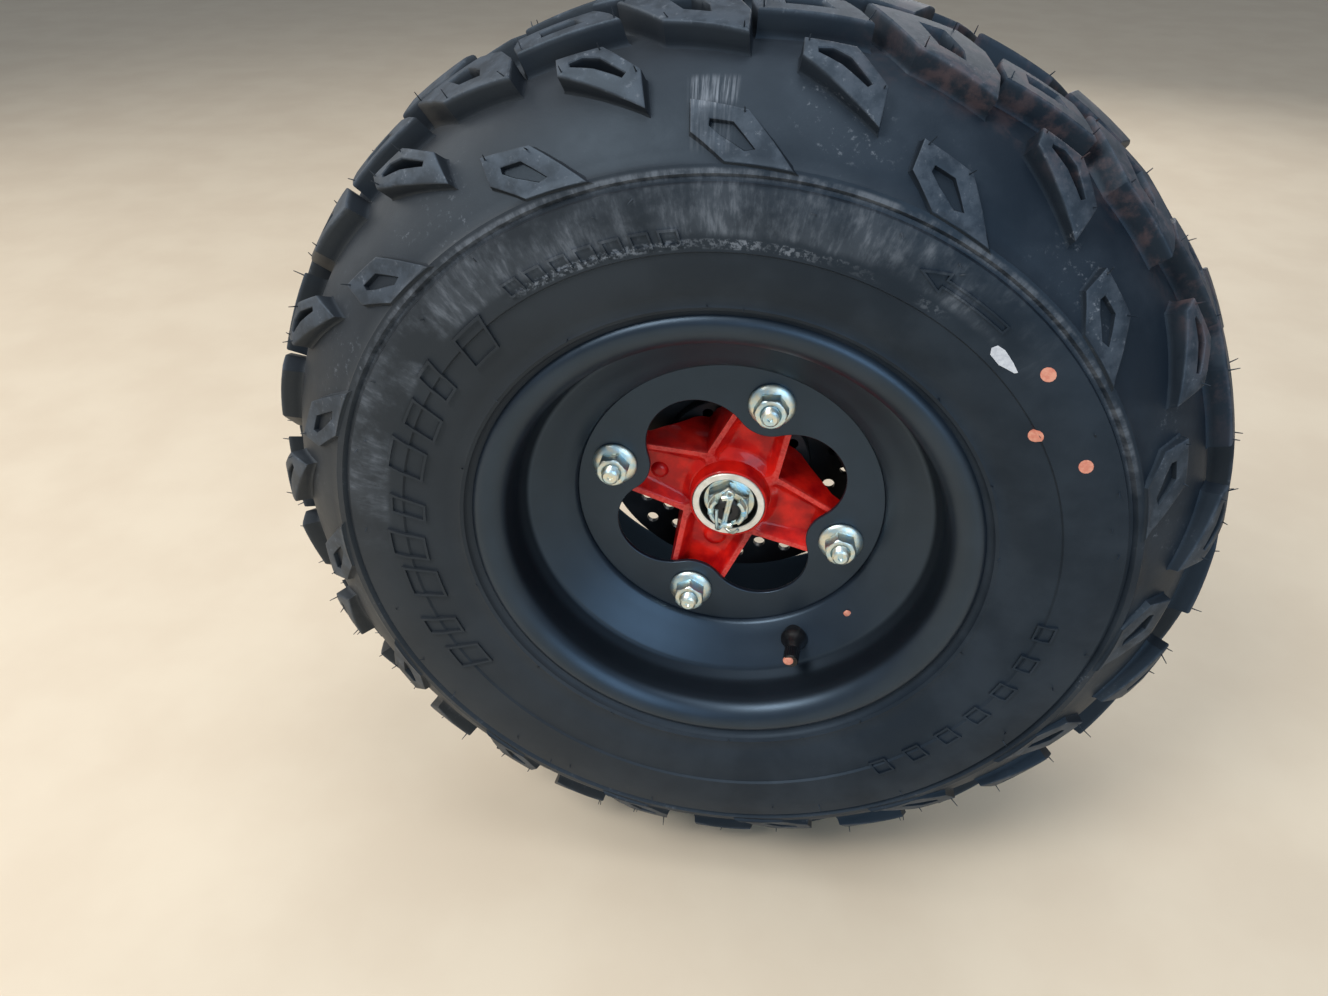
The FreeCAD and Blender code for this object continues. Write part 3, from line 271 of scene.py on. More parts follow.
def chalk_marks(rubber, where, bloom, cloud):
    """How chalky the side is: in a wide ring and on its ridge, in a thin seam and in one scuffed patch."""
    radius, clock, across = rubber.polar(where)
    streaks = rubber.noise(rubber.joined(clock * 1.6, radius * 0.12, across * 0.05), 2.2, 4, 0.7)
    ring = rubber.band(radius, 189, 208, 4) * rubber.band(clock, -75, 30, 22)
    ring = ring * (0.25 + 0.75 * rubber.ramp(streaks, 0.42, 0.70))
    ring = ring * rubber.ramp(bloom + cloud * 0.5, 0.62, 0.92)
    ridge = rubber.band(radius, 211.5, 215, 1.5) * rubber.band(clock, -55, 62, 14)
    ridge = ridge * (0.3 + 0.7 * rubber.ramp(streaks, 0.36, 0.62)) * rubber.ramp(cloud, 0.34, 0.60)
    seam = rubber.band(radius, 181, 184.5, 1.2) * rubber.band(clock, -28, 26, 8)
    seam = seam * rubber.ramp(rubber.noise(where, 2.6, 4, 0.7), 0.47, 0.60) * rubber.ramp(bloom, 0.40, 0.58)
    scratch = rubber.noise(rubber.joined(clock * 4, radius * 0.07), 1.6, 4, 0.65)
    patch = rubber.band(radius, 240, 246, 2.5) + rubber.band(radius, 224, 240, 4) * 0.25
    patch = patch * rubber.band(clock, -4.4, -0.6, 1.0) * rubber.ramp(scratch, 0.40, 0.66)
    return ring * 0.50 + ridge * 0.42 + seam * 0.7 + patch * 0.65


def rubber_finish():
    """Black moulded rubber with bloom, worn lug edges, chalky scuffs and a little brown dust; painted cool
    light tints it blue, and it is painted paler towards the front and darker on the lugs' walls.
    """
    # Painted reflection: the specular tint is blue, as cool light in the rubber's reflections.
    rubber = Finish("tyre_rubber", Specular_IOR_Level=0.34, Specular_Tint=(0.60, 0.80, 1.0, 1))
    where = rubber.place()
    radius, clock, _ = rubber.polar(where)
    bloom = rubber.noise(where, 45, 4)
    cloud = rubber.noise(where, 12, 5, 0.65)
    raised = rubber.raised()
    shade = rubber.ramp(bloom, 0.36, 0.66)
    # Painted light: both tones are tinted blue, as cool light on the rubber.
    colour = rubber.mixed(shade, (0.0070, 0.0112, 0.0180), (0.0165, 0.0230, 0.0325))
    # Painted light: the rubber towards the front is painted paler and greyer, as if lit from that side.
    front = rubber.ramp(rubber.split(where)["X"], -150, 120, 1.0, 0.0)
    colour = rubber.mixed(front * 0.55, colour, (0.0330, 0.0335, 0.0340))
    # Painted shade: the lugs' walls are painted darker.
    walls = rubber.band(raised, 0.16, 0.78, 0.10)
    colour = rubber.mixed(walls * 0.55, colour, (0.0060, 0.0078, 0.0110))
    worn = rubber.ramp(raised, 0.84, 0.985) * (0.25 + 0.75 * rubber.ramp(cloud, 0.38, 0.62))
    colour = rubber.mixed(worn * 0.62, colour, (0.064, 0.078, 0.098))
    specks = rubber.ramp(rubber.noise(where, 3.5, 5, 0.75), 0.56, 0.72)
    specks = specks * (rubber.band(radius, 214, 244, 6) * rubber.ramp(bloom, 0.50, 0.66) + worn)
    chalk = chalk_marks(rubber, where, bloom, cloud) + specks * 0.5
    colour = rubber.mixed(chalk, colour, (0.215, 0.235, 0.265))
    dust = rubber.ramp(radius, 248, 262) * rubber.band(clock, 22, 60, 16) * rubber.ramp(cloud, 0.44, 0.66)
    colour = rubber.mixed(dust * 0.45, colour, (0.105, 0.060, 0.055))
    grain = rubber.bump(rubber.noise(where, 0.9, 2), 0.06, 0.5)
    rubber.feed(Base_Color=colour, Roughness=0.46 + 0.14 * cloud + chalk * 0.3,
                Normal=rubber.bump(cloud, 0.35, 0.5, grain))
    return rubber.material


def powder_finish():
    """Satin black powder coat with its fine orange peel, tinted blue as painted cool light, with painted
    shade in the well and on the seat's wall.
    """
    # Painted reflection: the specular tint is blue, as cool light in the coat's reflections.
    coat = Finish("rim_black", Specular_IOR_Level=0.85, Specular_Tint=(0.55, 0.76, 1.0, 1))
    where = coat.place()
    radius, _, across = coat.polar(where)
    peel = coat.noise(where, 0.8, 2, 0.5)
    cloud = coat.noise(where, 30, 3)
    # Painted light: both tones are tinted blue, as cool light on the coat.
    colour = coat.mixed(coat.ramp(cloud, 0.3, 0.7), (0.0045, 0.0072, 0.0120), (0.0080, 0.0122, 0.0195))
    specks = coat.ramp(coat.noise(where, 1.6, 3, 0.7), 0.70, 0.80)
    colour = coat.mixed(specks * 0.25, colour, (0.12, 0.12, 0.12))
    # Painted shade: the well and all inboard of it, and the seat's wall inside the lip, are painted near
    # black, and Metallic there takes their reflections away.
    well = coat.ramp(across, -20, -8)
    seat = coat.ramp(radius, 117, 119.5) * coat.ramp(across, -74, -69) * 0.62
    shade = coat.math("MAXIMUM", well, seat)
    colour = coat.mixed(shade, colour, (0.0026, 0.0030, 0.0038))
    coat.feed(Base_Color=colour, Roughness=0.34 + 0.10 * peel + shade * 0.3, Metallic=shade * 0.85,
              Normal=coat.bump(peel, 0.05, 0.55))
    return coat.material


def red_finish():
    """Thick gloss red over a sand casting, with painted highlights on the ribs' tops."""
    paint = Finish("hub_red", Coat_Weight=0.30, Coat_Roughness=0.04, Specular_IOR_Level=0.16)
    where = paint.place()
    sand = paint.noise(where, 1.6, 4, 0.6)
    runs = paint.noise(where, 14, 3)
    colour = paint.mixed(paint.ramp(runs, 0.3, 0.7), (0.34, 0.002, 0.004), (0.70, 0.013, 0.007))
    # Painted highlight: the ribs' tops are painted paler, in patches.
    ribs = paint.ramp(paint.raised(), 0.90, 0.995) * (0.25 + 0.75 * paint.ramp(sand, 0.34, 0.60))
    colour = paint.mixed(ribs * 0.40, colour, (0.80, 0.13, 0.11))
    paint.feed(Base_Color=colour, Roughness=0.26 + 0.14 * sand, Normal=paint.bump(sand, 0.22, 0.6))
    return paint.material


def zinc_finish():
    """Bright zinc plate with the blue and straw tints of its passivation."""
    plate = Finish("zinc", Metallic=1.0)
    where = plate.place()
    fine = plate.noise(where, 0.7, 3, 0.6)
    tint = plate.ramp(plate.noise(where, 5, 3), 0.35, 0.65)
    colour = plate.mixed(tint, (0.84, 0.82, 0.68), (0.56, 0.76, 0.84))
    spots = plate.ramp(plate.noise(where, 2.2, 4, 0.7), 0.62, 0.74)
    colour = plate.mixed(spots * 0.5, colour, (0.34, 0.34, 0.31))
    plate.feed(Base_Color=colour, Roughness=0.27 + 0.24 * fine, Normal=plate.bump(fine, 0.06, 0.5))
    return plate.material


def turned_finish():
    """Machined steel with turning rings about the axle, with painted shade in the gap inside the dust ring.
    """
    steel = Finish("bare_steel", Metallic=1.0)
    where = steel.place()
    radius, _, across = steel.polar(where)
    rings = steel.noise(steel.joined(radius * 3.0, across * 3.0), 1.0, 3, 0.6)
    cloud = steel.noise(where, 6, 3)
    colour = steel.mixed(steel.ramp(cloud, 0.35, 0.7), (0.90, 0.87, 0.80), (0.78, 0.74, 0.66))
    # Painted shade: all of this steel nearer the axle than the dust ring's bore is painted near black and
    # less metallic, as the gap's shade.
    gap = steel.ramp(radius, 17.45, 17.65, 1.0, 0.0)
    colour = steel.mixed(gap, colour, (0.010, 0.010, 0.011))
    steel.feed(Base_Color=colour, Roughness=0.40 + 0.16 * rings, Metallic=0.55 - gap * 0.5,
               Normal=steel.bump(rings, 0.05, 0.5))
    return steel.material


def black_finish(name, low, high, rough, pattern, peel):
    """Black paint over a casting or forging, with a little dust in patches."""
    paint = Finish(name, Specular_IOR_Level=0.5)
    where = paint.place()
    skin = paint.noise(where, pattern, 4, 0.6)
    cloud = paint.noise(where, 18, 4, 0.6)
    colour = paint.mixed(paint.ramp(cloud, 0.35, 0.7), low, high)
    dust = paint.ramp(paint.noise(where, 6, 5, 0.7), 0.58, 0.76)
    colour = paint.mixed(dust * 0.22, colour, (0.13, 0.12, 0.105))
    paint.feed(Base_Color=colour, Roughness=rough + 0.14 * skin, Normal=paint.bump(skin, peel, 0.6))
    return paint.material


def mark_finish(name, colour, shade):
    """Dabbed paint that has taken the rubber's texture."""
    paint = Finish(name)
    where = paint.place()
    dabs = paint.noise(where, 2.0, 4, 0.6)
    tone = paint.mixed(paint.ramp(dabs, 0.35, 0.68), colour, shade)
    paint.feed(Base_Color=tone, Roughness=0.5 + 0.2 * dabs, Normal=paint.bump(dabs, 0.15, 0.6))
    return paint.material


def floor_finish():
    """Plain pale sealed floor."""
    slab = Finish("floor_plain", Specular_IOR_Level=0.3)
    cloud = slab.noise(slab.place(), 140, 4)
    colour = slab.mixed(slab.ramp(cloud, 0.3, 0.7), (0.66, 0.555, 0.425), (0.70, 0.600, 0.465))
    slab.feed(Base_Color=colour, Roughness=0.55 + 0.1 * cloud)
    return slab.material


def around(radius, clock, across=0.0):
    """A place by its radius from the axle and its clock angle."""
    turn = math.radians(clock)
    return Vector((radius * math.sin(turn), across, radius * math.cos(turn)))


def between(table, value):
    """A value read off a table of steps, straight from one to the next."""
    for (start, low), (end, high) in zip(table, table[1:]):
        if value <= end:
            return low + (high - low) * max(0.0, value - start) / (end - start)
    return table[-1][1]


def mirrored(places):
    """The places from last to first, on the other side."""
    return [(first, -second) for first, second in reversed(places)]


def draw(work, places, closed=False):
    """Places joined by edges."""
    spots = [work.verts.new(place) for place in places]
    edges = [work.edges.new(pair) for pair in zip(spots, spots[1:])]
    if closed:
        edges.append(work.edges.new((spots[-1], spots[0])))
    return spots, edges


def fill_flat(work, places):
    """A flat face that looks along z."""
    face = work.faces.new([work.verts.new(place) for place in places])
    face.normal_update()
    if face.normal.z < 0:
        face.normal_flip()
    return face


def inset(work, face, thickness, depth):
    """Draws a face in by a thickness and moves it out by a depth."""
    bmesh.ops.inset_region(work, faces=[face], thickness=thickness, depth=depth, use_even_offset=True,
                           use_boundary=True)


def grid_cut(work, step):
    """Cuts a flat drawing into a grid, so that it can bend."""
    for axis in (0, 1):
        low = min(spot.co[axis] for spot in work.verts)
        high = max(spot.co[axis] for spot in work.verts)
        normal = Vector((1 - axis, axis, 0))
        for count in range(1, math.ceil((high - low) / step)):
            geometry = work.verts[:] + work.edges[:] + work.faces[:]
            bmesh.ops.bisect_plane(work, geom=geometry, dist=0.001, plane_co=normal * (low + count * step),
                                   plane_no=normal)


def turn_section(work, section, steps, closed=False):
    """Spins a section, given as places across and radii, about the axle, and gives its points."""
    spots, edges = draw(work, [(0, across, radius) for across, radius in section], closed)
    before = set(work.verts) - set(spots)
    bmesh.ops.spin(work, geom=spots + edges, cent=(0, 0, 0), axis=(0, 1, 0), angle=math.tau, steps=steps,
                   use_merge=True)
    return [spot for spot in work.verts if spot not in before]


def turn_about(work, degrees):
    """Turns a shape about the axle."""
    turn = Matrix.Rotation(math.radians(degrees), 3, "Y")
    bmesh.ops.rotate(work, cent=(0, 0, 0), matrix=turn, verts=work.verts)


def join(work, part):
    """Adds one drawn shape to another."""
    mesh = bpy.data.meshes.new("part")
    part.to_mesh(mesh)
    part.free()
    work.from_mesh(mesh)
    bpy.data.meshes.remove(mesh)


def rod(work, places, radius):
    """A wire along a smooth line through a few places."""
    curve = bpy.data.curves.new("wire", "CURVE")
    curve.dimensions = "3D"
    curve.bevel_depth = radius
    curve.bevel_resolution = 2
    curve.use_fill_caps = True
    run = curve.splines.new("NURBS")
    run.points.add(len(places) - 1)
    for point, place in zip(run.points, places):
        point.co = (*place, 1)
    run.order_u = 3
    run.use_endpoint_u = True
    run.resolution_u = 4
    holder = bpy.data.objects.new("wire", curve)
    mesh = bpy.data.meshes.new_from_object(holder)
    work.from_mesh(mesh)
    bpy.data.objects.remove(holder)
    bpy.data.curves.remove(curve)
    bpy.data.meshes.remove(mesh)


def piece(name, work, finish, body, nodes=(), sharp=38):
    """Makes an object of a drawn shape, on its body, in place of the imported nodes."""
    bmesh.ops.remove_doubles(work, verts=work.verts, dist=MERGE)
    bmesh.ops.recalc_face_normals(work, faces=work.faces)
    work.transform(Matrix.Translation(AXLE) @ Matrix.Scale(MM, 4))
    mesh = bpy.data.meshes.new(name)
    work.to_mesh(mesh)
    work.free()
    mesh.shade_smooth()
    mesh.set_sharp_from_angle(angle=math.radians(sharp))
    mesh.materials.append(finish)
    made = bpy.data.objects.new(name, mesh)
    bpy.context.scene.collection.objects.link(made)
    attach(made, body)
    if nodes:
        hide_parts(*nodes)
    return made


def dress(node, finish, body, edge):
    """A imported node's shape with its edges rounded."""
    work = bmesh.new()
    work.from_mesh(frame["nodes"][node].data)
    bmesh.ops.remove_doubles(work, verts=work.verts, dist=MERGE * MM)
    work.transform(Matrix.Scale(1 / MM, 4) @ Matrix.Translation(-AXLE))
    bmesh.ops.dissolve_limit(work, angle_limit=math.radians(0.5), verts=work.verts, edges=work.edges)
    made = piece(node + "_finished", work, finish, body, [node], 30)
    rounding = made.modifiers.new("edges", "BEVEL")
    rounding.width = edge * MM
    rounding.segments = 2
    rounding.limit_method = "ANGLE"
    rounding.angle_limit = math.radians(40)
    rounding.harden_normals = False


def casing_line():
    """The casing's smooth outboard half and the distance of each place from the bead."""
    spots = [Vector((radius, across, 0)) for radius, across in SIDE]
    spots = [2 * spots[0] - spots[1]] + spots + [Vector((spots[-2].x, -spots[-2].y, 0))]
    line = []
    for before, start, end, after in zip(spots, spots[1:], spots[2:], spots[3:]):
        leave, arrive = start + (end - before) / 6, end - (after - start) / 6
        line += interpolate_bezier(start, leave, arrive, end, 9)[:-1]
    line.append(spots[-2])
    lengths = [0.0]
    for start, end in zip(line, line[1:]):
        lengths.append(lengths[-1] + (end - start).length)
    return line, lengths


CASING, CASING_LENGTHS = casing_line()
HALF = CASING_LENGTHS[-1]


def on_line(length):
    """The place on the casing's section at a distance from the outboard bead, past the middle too."""
    if length > HALF:
        far = on_line(2 * HALF - length)
        return Vector((far.x, -far.y, 0))
    index = 1
    while CASING_LENGTHS[index] < length and index < len(CASING) - 1:
        index += 1
    share = (length - CASING_LENGTHS[index - 1]) / (CASING_LENGTHS[index] - CASING_LENGTHS[index - 1])
    return CASING[index - 1].lerp(CASING[index], share)


def on_casing(length, clock, height=0.0):
    """A place on the casing, or so far above it."""
    spot = on_line(length)
    along = (on_line(length + 2) - on_line(length - 2)).normalized()
    return around(spot.x + along.y * height, clock, spot.y - along.x * height)


def ring_height(length):
    """How far the side's rings stand out at a distance from either bead."""
    return between(RINGS, min(length, 2 * HALF - length))


def lug_height(length):
    """The lugs' height over the casing, which falls off towards the side."""
    return between(LUG_HEIGHTS, abs(HALF - length))


def make_carcass(rubber):
    """The tyre's casing with the rings on its sides, closed by its beads and its inner wall."""
    lengths = [0, 1.5, 3, 4.5, 6.5, 8, 14, 20, 26, 32, 36.5, 37.6, 42, 48, 54, 60, 67.5, 68.6, 70.6, 71.8,
               75.6, 77.4, 82, 88, 94, 100, 105, 110, 114, 118, 122, 126, 130, 135, 141, 148, 156, 164, 172]
    crown_start = 120
    bead = [(-55, 139), (-53, 131), (-54.5, 127.5), (-60, 126.6), (-70.4, 127.4), (-74, 131.5)]
    outer = [on_casing(length, 0, ring_height(length)) for length in lengths]
    inner = [on_casing(length, 0, -CROWN_WALL if length > crown_start else -CASING_WALL)
             for length in reversed(lengths[8::4])]
    top, ceiling = [[(place.y, place.z)] for place in (on_casing(HALF, 0), on_casing(HALF, 0, -CROWN_WALL))]
    near = [(place.y, place.z) for place in outer]
    inside = [(place.y, place.z) for place in inner] + bead
    far, far_inside = [[(-across, radius) for across, radius in reversed(half)] for half in (near, inside)]
    work = bmesh.new()
    turn_section(work, near + top + far + far_inside + ceiling + inside, 180, closed=True)
    piece("tyre_carcass", work, rubber, "wheel", ["tyre"], 40)


def sink_pocket(work, top, pocket, floor):
    """Opens a pocket in a lug's flat top, with a rounded edge and a sloping wall."""
    edge, slope = 0.4, 0.5
    rim = list(top.edges)
    bmesh.ops.delete(work, geom=[top], context="FACES_ONLY")
    places = [(clock * TREAD_DEGREE, length, LUG_DRAWN) for clock, length in pocket]
    hole, edges = draw(work, places, closed=True)
    bmesh.ops.triangle_fill(work, edges=rim + edges, use_beauty=True)
    base = work.faces.new(hole)
    base.normal_update()
    if base.normal.z < 0:
        base.normal_flip()
    inset(work, base, edge, -edge)
    inset(work, base, slope, floor - (LUG_DRAWN - edge))


def draw_lug(outline, pocket, floor):
    """A lug on a flat plane: its flared foot, its sloping wall, its rounded top and the pocket in that."""
    flare, grid = 2.6, 7.0
    work = bmesh.new()
    places = [Vector((clock * TREAD_DEGREE, length, -LUG_SUNK)) for clock, length in outline]
    if (places[1] - places[0]).cross(places[2] - places[1]).z < 0:
        places.reverse()
    top = fill_flat(work, places)
    inset(work, top, -flare, 0)
    bmesh.ops.delete(work, geom=[face for face in work.faces if face != top], context="FACES")
    for thickness, depth in LUG_WALL:
        inset(work, top, thickness, depth)
    if pocket:
        sink_pocket(work, top, pocket, floor)
    bmesh.ops.recalc_face_normals(work, faces=work.faces)
    grid_cut(work, grid)
    return work


def wrap_lug(work, centre, side):
    """Bends a flat lug onto the casing; side -1 is its mirror on the inboard half, half a pitch on."""
    mark = work.verts.layers.float.new("height")
    for spot in work.verts:
        clock, length, height = spot.co.x / TREAD_DEGREE, spot.co.y, spot.co.z
        spot[mark] = max(0.0, height / LUG_DRAWN)
        if height > LUG_FOOT:
            stretch = (lug_height(length) - LUG_FOOT) / (LUG_DRAWN - LUG_FOOT)
            height = LUG_FOOT + (height - LUG_FOOT) * stretch
        spot.co = on_casing(length, centre + clock, height + ring_height(length))
    if side < 0:
        bmesh.ops.scale(work, vec=(1, -1, 1), verts=work.verts)
        turn_about(work, PITCH / 2)
    bmesh.ops.recalc_face_normals(work, faces=work.faces)


def make_lugs(rubber):
    """All the tread: a pitch of lugs, repeated round the tyre."""
    tread = bmesh.new()
    shapes = [(*lug, side) for lug in LUGS.values() for side in (1, -1)]
    shapes.append((MIDDLE_CLOCK, [(clock, HALF - reach) for clock, reach in MIDDLE_LUG], None, 0, 1))
    for centre, outline, pocket, floor, side in shapes:
        lug = draw_lug(outline, pocket, floor)
        wrap_lug(lug, centre, side)
        join(tread, lug)
    geometry = tread.verts[:] + tread.edges[:] + tread.faces[:]
    bmesh.ops.spin(tread, geom=geometry, cent=(0, 0, 0), axis=(0, 1, 0),
                   angle=math.tau * (PITCHES - 1) / PITCHES, steps=PITCHES - 1, use_duplicate=True)
    piece("tread_lugs", tread, rubber, "wheel", ["tyre"], 32)


def grow_hair(work, length, clock, height, reach, lean, turn):
    """One thin rubber hair left by the mould's vents."""
    base = on_casing(length, clock, height)
    out = (on_casing(length, clock, height + 5) - base).normalized()
    aside = out.orthogonal().normalized()
    aside.rotate(Matrix.Rotation(turn, 3, out))
    out = (out + aside * lean).normalized()
    place = Matrix.Translation(base + out * reach / 2) @ out.to_track_quat("Z", "Y").to_matrix().to_4x4()
    bmesh.ops.create_cone(work, cap_ends=True, segments=5, radius1=0.42, radius2=0.22, depth=reach,
                          matrix=place)


def make_hairs(rubber):
    """The hairs on the lugs' edges and on the sides."""
    chance = random.Random(7)
    work = bmesh.new()
    for start in [pitch * PITCH for pitch in range(PITCHES)]:
        for clock, length in LUG_HAIRS:
            for side in (1, -1):
                if chance.random() < BARE_SHARE:
                    continue
                far = length if side > 0 else 2 * HALF - length
                turn = start + clock + (0 if side > 0 else PITCH / 2)
                grow_hair(work, far, turn, lug_height(length) - 0.6, chance.uniform(2.5, 6.5),
                          chance.uniform(0, 0.6), chance.uniform(0, math.tau))
        for length in SIDE_HAIRS:
            for far in (length, 2 * HALF - length):
                grow_hair(work, far, start + chance.uniform(0, PITCH), ring_height(length) - 0.2,
                          chance.uniform(2, 4.5), chance.uniform(0.3, 1.4), chance.uniform(0, math.tau))
    piece("mould_hairs", work, rubber, "wheel", ["tyre"], 60)


def raise_outline(work, outline, width, height):
    """A raised line of a width, or a patch where that is 0, by the clock and the distance from the bead."""
    sunk, grid = 0.5, 6.0
    flat = bmesh.new()
    face = fill_flat(flat, [(clock * SIDE_DEGREE, length, -sunk) for clock, length in outline])
    if width:
        inset(flat, face, width, 0)
        bmesh.ops.delete(flat, geom=[face], context="FACES")
    raised = bmesh.ops.extrude_face_region(flat, geom=flat.faces[:])
    moved = [item for item in raised["geom"] if isinstance(item, bmesh.types.BMVert)]
    bmesh.ops.translate(flat, vec=(0, 0, height + sunk), verts=moved)
    bmesh.ops.recalc_face_normals(flat, faces=flat.faces)
    grid_cut(flat, grid)
    for spot in flat.verts:
        spot.co = on_casing(spot.co.y, spot.co.x / SIDE_DEGREE, spot.co.z + ring_height(spot.co.y))
    join(work, flat)


def raise_bar(work, start, wide, low, high, lean, width, height):
    """The outline of one bar between two distances from the bead, leaning along the clock."""
    end = start + wide
    raise_outline(work, [(start, low), (end, low), (end + lean, high), (start + lean, high)], width, height)


def make_side_moulding(rubber):
    """Plain raised bars and a rotation arrow on the side, where such a tyre has its marking."""
    work = bmesh.new()
    for index in range(9):
        low, high = (27, 47) if index % 2 else (25, 44)
        raise_bar(work, 236 + index * 9.4, (5.6, 4.0, 6.6)[index % 3], low, high, 2.2, 1.5, 1.5)
    for index in range(7):
        raise_bar(work, 97 + index * 7.6, 3.6, 34, 44, -0.6, 1.2, 1.2)
    for index in range(7):
        raise_bar(work, 326 + index * 4.1, 2.9, 41, 49, -0.4, 1.0, 1.1)
    arrow = [(25.5, 54), (29.5, 48.5), (29.5, 51.7), (40, 51.7), (40, 56.3), (29.5, 56.3), (29.5, 59.5)]
    raise_outline(work, arrow, 1.0, 1.1)
    piece("side_moulding", work, rubber, "wheel", ["tyre"], 30)


def make_orange_dots(orange):
    """Three dots of paint on the tyre's side and a dab on the rim's dish."""
    thick, narrow, corners = 0.18, 0.34, 14
    work = bmesh.new()
    for clock, radius, size in ((48.9, 196, 3.4), (57.4, 177, 3.6), (65.0, 193, 3.4)):
        length = next(n for n in range(100) if on_line(n).x >= radius)
        turns = [math.tau * corner / corners for corner in range(corners)]
        raise_outline(work, [(clock + size * narrow * math.cos(turn), length + size * math.sin(turn))
                             for turn in turns], 0, thick)
    dab = Matrix.Translation(around(103.9, 132, -38.0)) @ Matrix.Diagonal((1, 0.35, 1, 1))
    bmesh.ops.create_uvsphere(work, u_segments=12, v_segments=6, radius=2.5, matrix=dab)
    piece("orange_dots", work, orange, "wheel")


def make_white_stroke(white):
    """A short stroke of paint on the tyre's side."""
    work = bmesh.new()
    outline = [(40.7, 44), (41.4, 41.5), (43.5, 41.0), (46.0, 43.8), (46.2, 45.2), (44.6, 46.4),
               (42.2, 47.6), (41.0, 46.8)]
    raise_outline(work, outline, 0, 0.18)
    piece("white_stroke", work, white, "wheel")


def make_rim(coat):
    """The rolled barrel: lip, seat, dish, well, and the back with its lip, as one bent sheet."""
    lip = [(-76.2, 143.4), (-78.6, 141.6), (-79.6, 138.6), (-79.3, 135.4), (-77.8, 131.6), (-75.6, 128.6),
           (-72.8, 126.0)]
    seat = [(-69.5, 124.6), (-64, 123.9), (-57.2, 123.5), (-55.2, 123.2), (-53.6, 122.9), (-51.6, 122.2),
            (-50, 120.9), (-48.2, 119.7), (-47.2, 119), (-46.8, 117.6), (-46, 116)]
    dish = [(-40.7, 108.8), (-35.6, 100.4), (-31.6, 93.8), (-30.2, 92.4), (-28.2, 92)]
    well = [(-14, 92), (-9, 92.2), (-6, 94), (14, 119.6), (17, 122.2), (22, 123.4), (40, 123.9),
            (64, 124.4)]
    back = [(74, 124.2), (77, 124.7), (78.9, 126.8), (79.6, 131), (79.5, 138.4), (78.5, 141.5),
            (76.2, 143.4)]
    work = bmesh.new()
    turn_section(work, lip + seat + dish + well + back, 160)
    bmesh.ops.remove_doubles(work, verts=work.verts, dist=MERGE)
    bmesh.ops.recalc_face_normals(work, faces=work.faces)
    bmesh.ops.solidify(work, geom=work.faces[:], thickness=2.6)
    piece("rim_rolled", work, coat, "wheel", ["rim_barrel"], 50)


def set_valve(work):
    """Leans a piece of the valve, as it sits in its hole, and puts it in place."""
    about_x, about_z = [math.radians(part) for part in VALVE_LEAN]
    lean = Matrix.Rotation(about_z, 3, "Z") @ Matrix.Rotation(about_x, 3, "X")
    bmesh.ops.rotate(work, verts=work.verts, cent=(0, VALVE_FOOT, 0), matrix=lean)
    bmesh.ops.translate(work, vec=around(VALVE_RADIUS, VALVE_CLOCK), verts=work.verts)


def make_valve(rubber):
    """The rubber valve with its swollen foot."""
    work = bmesh.new()
    turn_section(work, [(VALVE_FOOT, 0), (VALVE_FOOT, 7.6), (-27.5, 8.3), (-36, 7.4), (-39, 8.6), (-41, 8.4),
                        (-43, 7), (-46.5, 5.4), (-50.5, 4.7), (-51.2, 4.2), (-51.2, 0)], 32)
    set_valve(work)
    piece("valve_rubber", work, rubber, "wheel", ["valve_stem"], 45)


def make_valve_cap(rubber):
    """The valve's ribbed cap."""
    steps, rib_radius, groove = 40, 4.3, 0.93
    work = bmesh.new()
    spots = turn_section(work, [(-50.9, 0), (-50.9, 4.6), (-51.6, 5), (-60.6, 4.8), (-61.4, 4.2),
                                (-61.5, 3.4), (-60.9, 2.6), (-60.9, 0)], steps)
    for spot in spots:
        turn = round(math.atan2(spot.co.x, spot.co.z) / (math.tau / steps))
        if turn % 2 and math.hypot(spot.co.x, spot.co.z) > rib_radius:
            spot.co.x *= groove
            spot.co.z *= groove
    set_valve(work)
    piece("valve_cap_ribbed", work, rubber, "wheel", ["valve_cap"], 25)


def make_valve_dab(orange):
    """The dab of paint on one side of the cap's end."""
    work = bmesh.new()
    turn_section(work, [(-60.8, 0), (-61.8, 0), (-61.8, 2), (-61.5, 2.9), (-60.8, 3.3)], 24)
    bmesh.ops.translate(work, vec=(-1.5, 0, 0), verts=work.verts)
    set_valve(work)
    piece("valve_dab", work, orange, "wheel")


def flatten_sides(spots, flats):
    """Draws round places in to a hexagon of that width across flats."""
    for spot in spots:
        radius = math.hypot(spot.co.x, spot.co.z)
        turn = math.atan2(spot.co.x, spot.co.z) % (math.pi / 3) - math.pi / 6
        limit = flats / 2 / math.cos(turn)
        if radius > limit:
            spot.co.x *= limit / radius
            spot.co.z *= limit / radius


def threaded(start, end, radius, pitch):
    """A thread's ridges from start to end, as places across and radii."""
    places = []
    across = start
    while across < end:
        places += [(across, radius), (across + pitch * 0.5, radius - pitch * 0.5)]
        across += pitch
    return places


def make_flange_nut(index, clock, zinc):
    """A wheel nut with its round flange, turned as far as it was tightened."""
    work = bmesh.new()
    turn_section(work, [(-28, 5.2), (-28, 12.8), (-28.5, 13.3), (-29.6, 13.3), (-30.4, 12.7), (-31.4, 10.4),
                        (-31.8, 8.6)], 48)
    body = turn_section(work, [(-30, 9.9), (-33, 9.9), (-38.3, 9.9), (-38.8, 9.6), (-39.3, 9.1),
                               (-39.8, 8.5), (-40, 8.1), (-40, 6.1), (-39, 5.1), (-30, 5.1)], 72)
    flatten_sides(body, 17)
    turn_about(work, 11 + 17 * index)
    bmesh.ops.translate(work, vec=around(STUD_CIRCLE, clock), verts=work.verts)
    piece("flange_nut_%d" % index, work, zinc, "wheel", ["wheel_nut_%d" % index], 32)


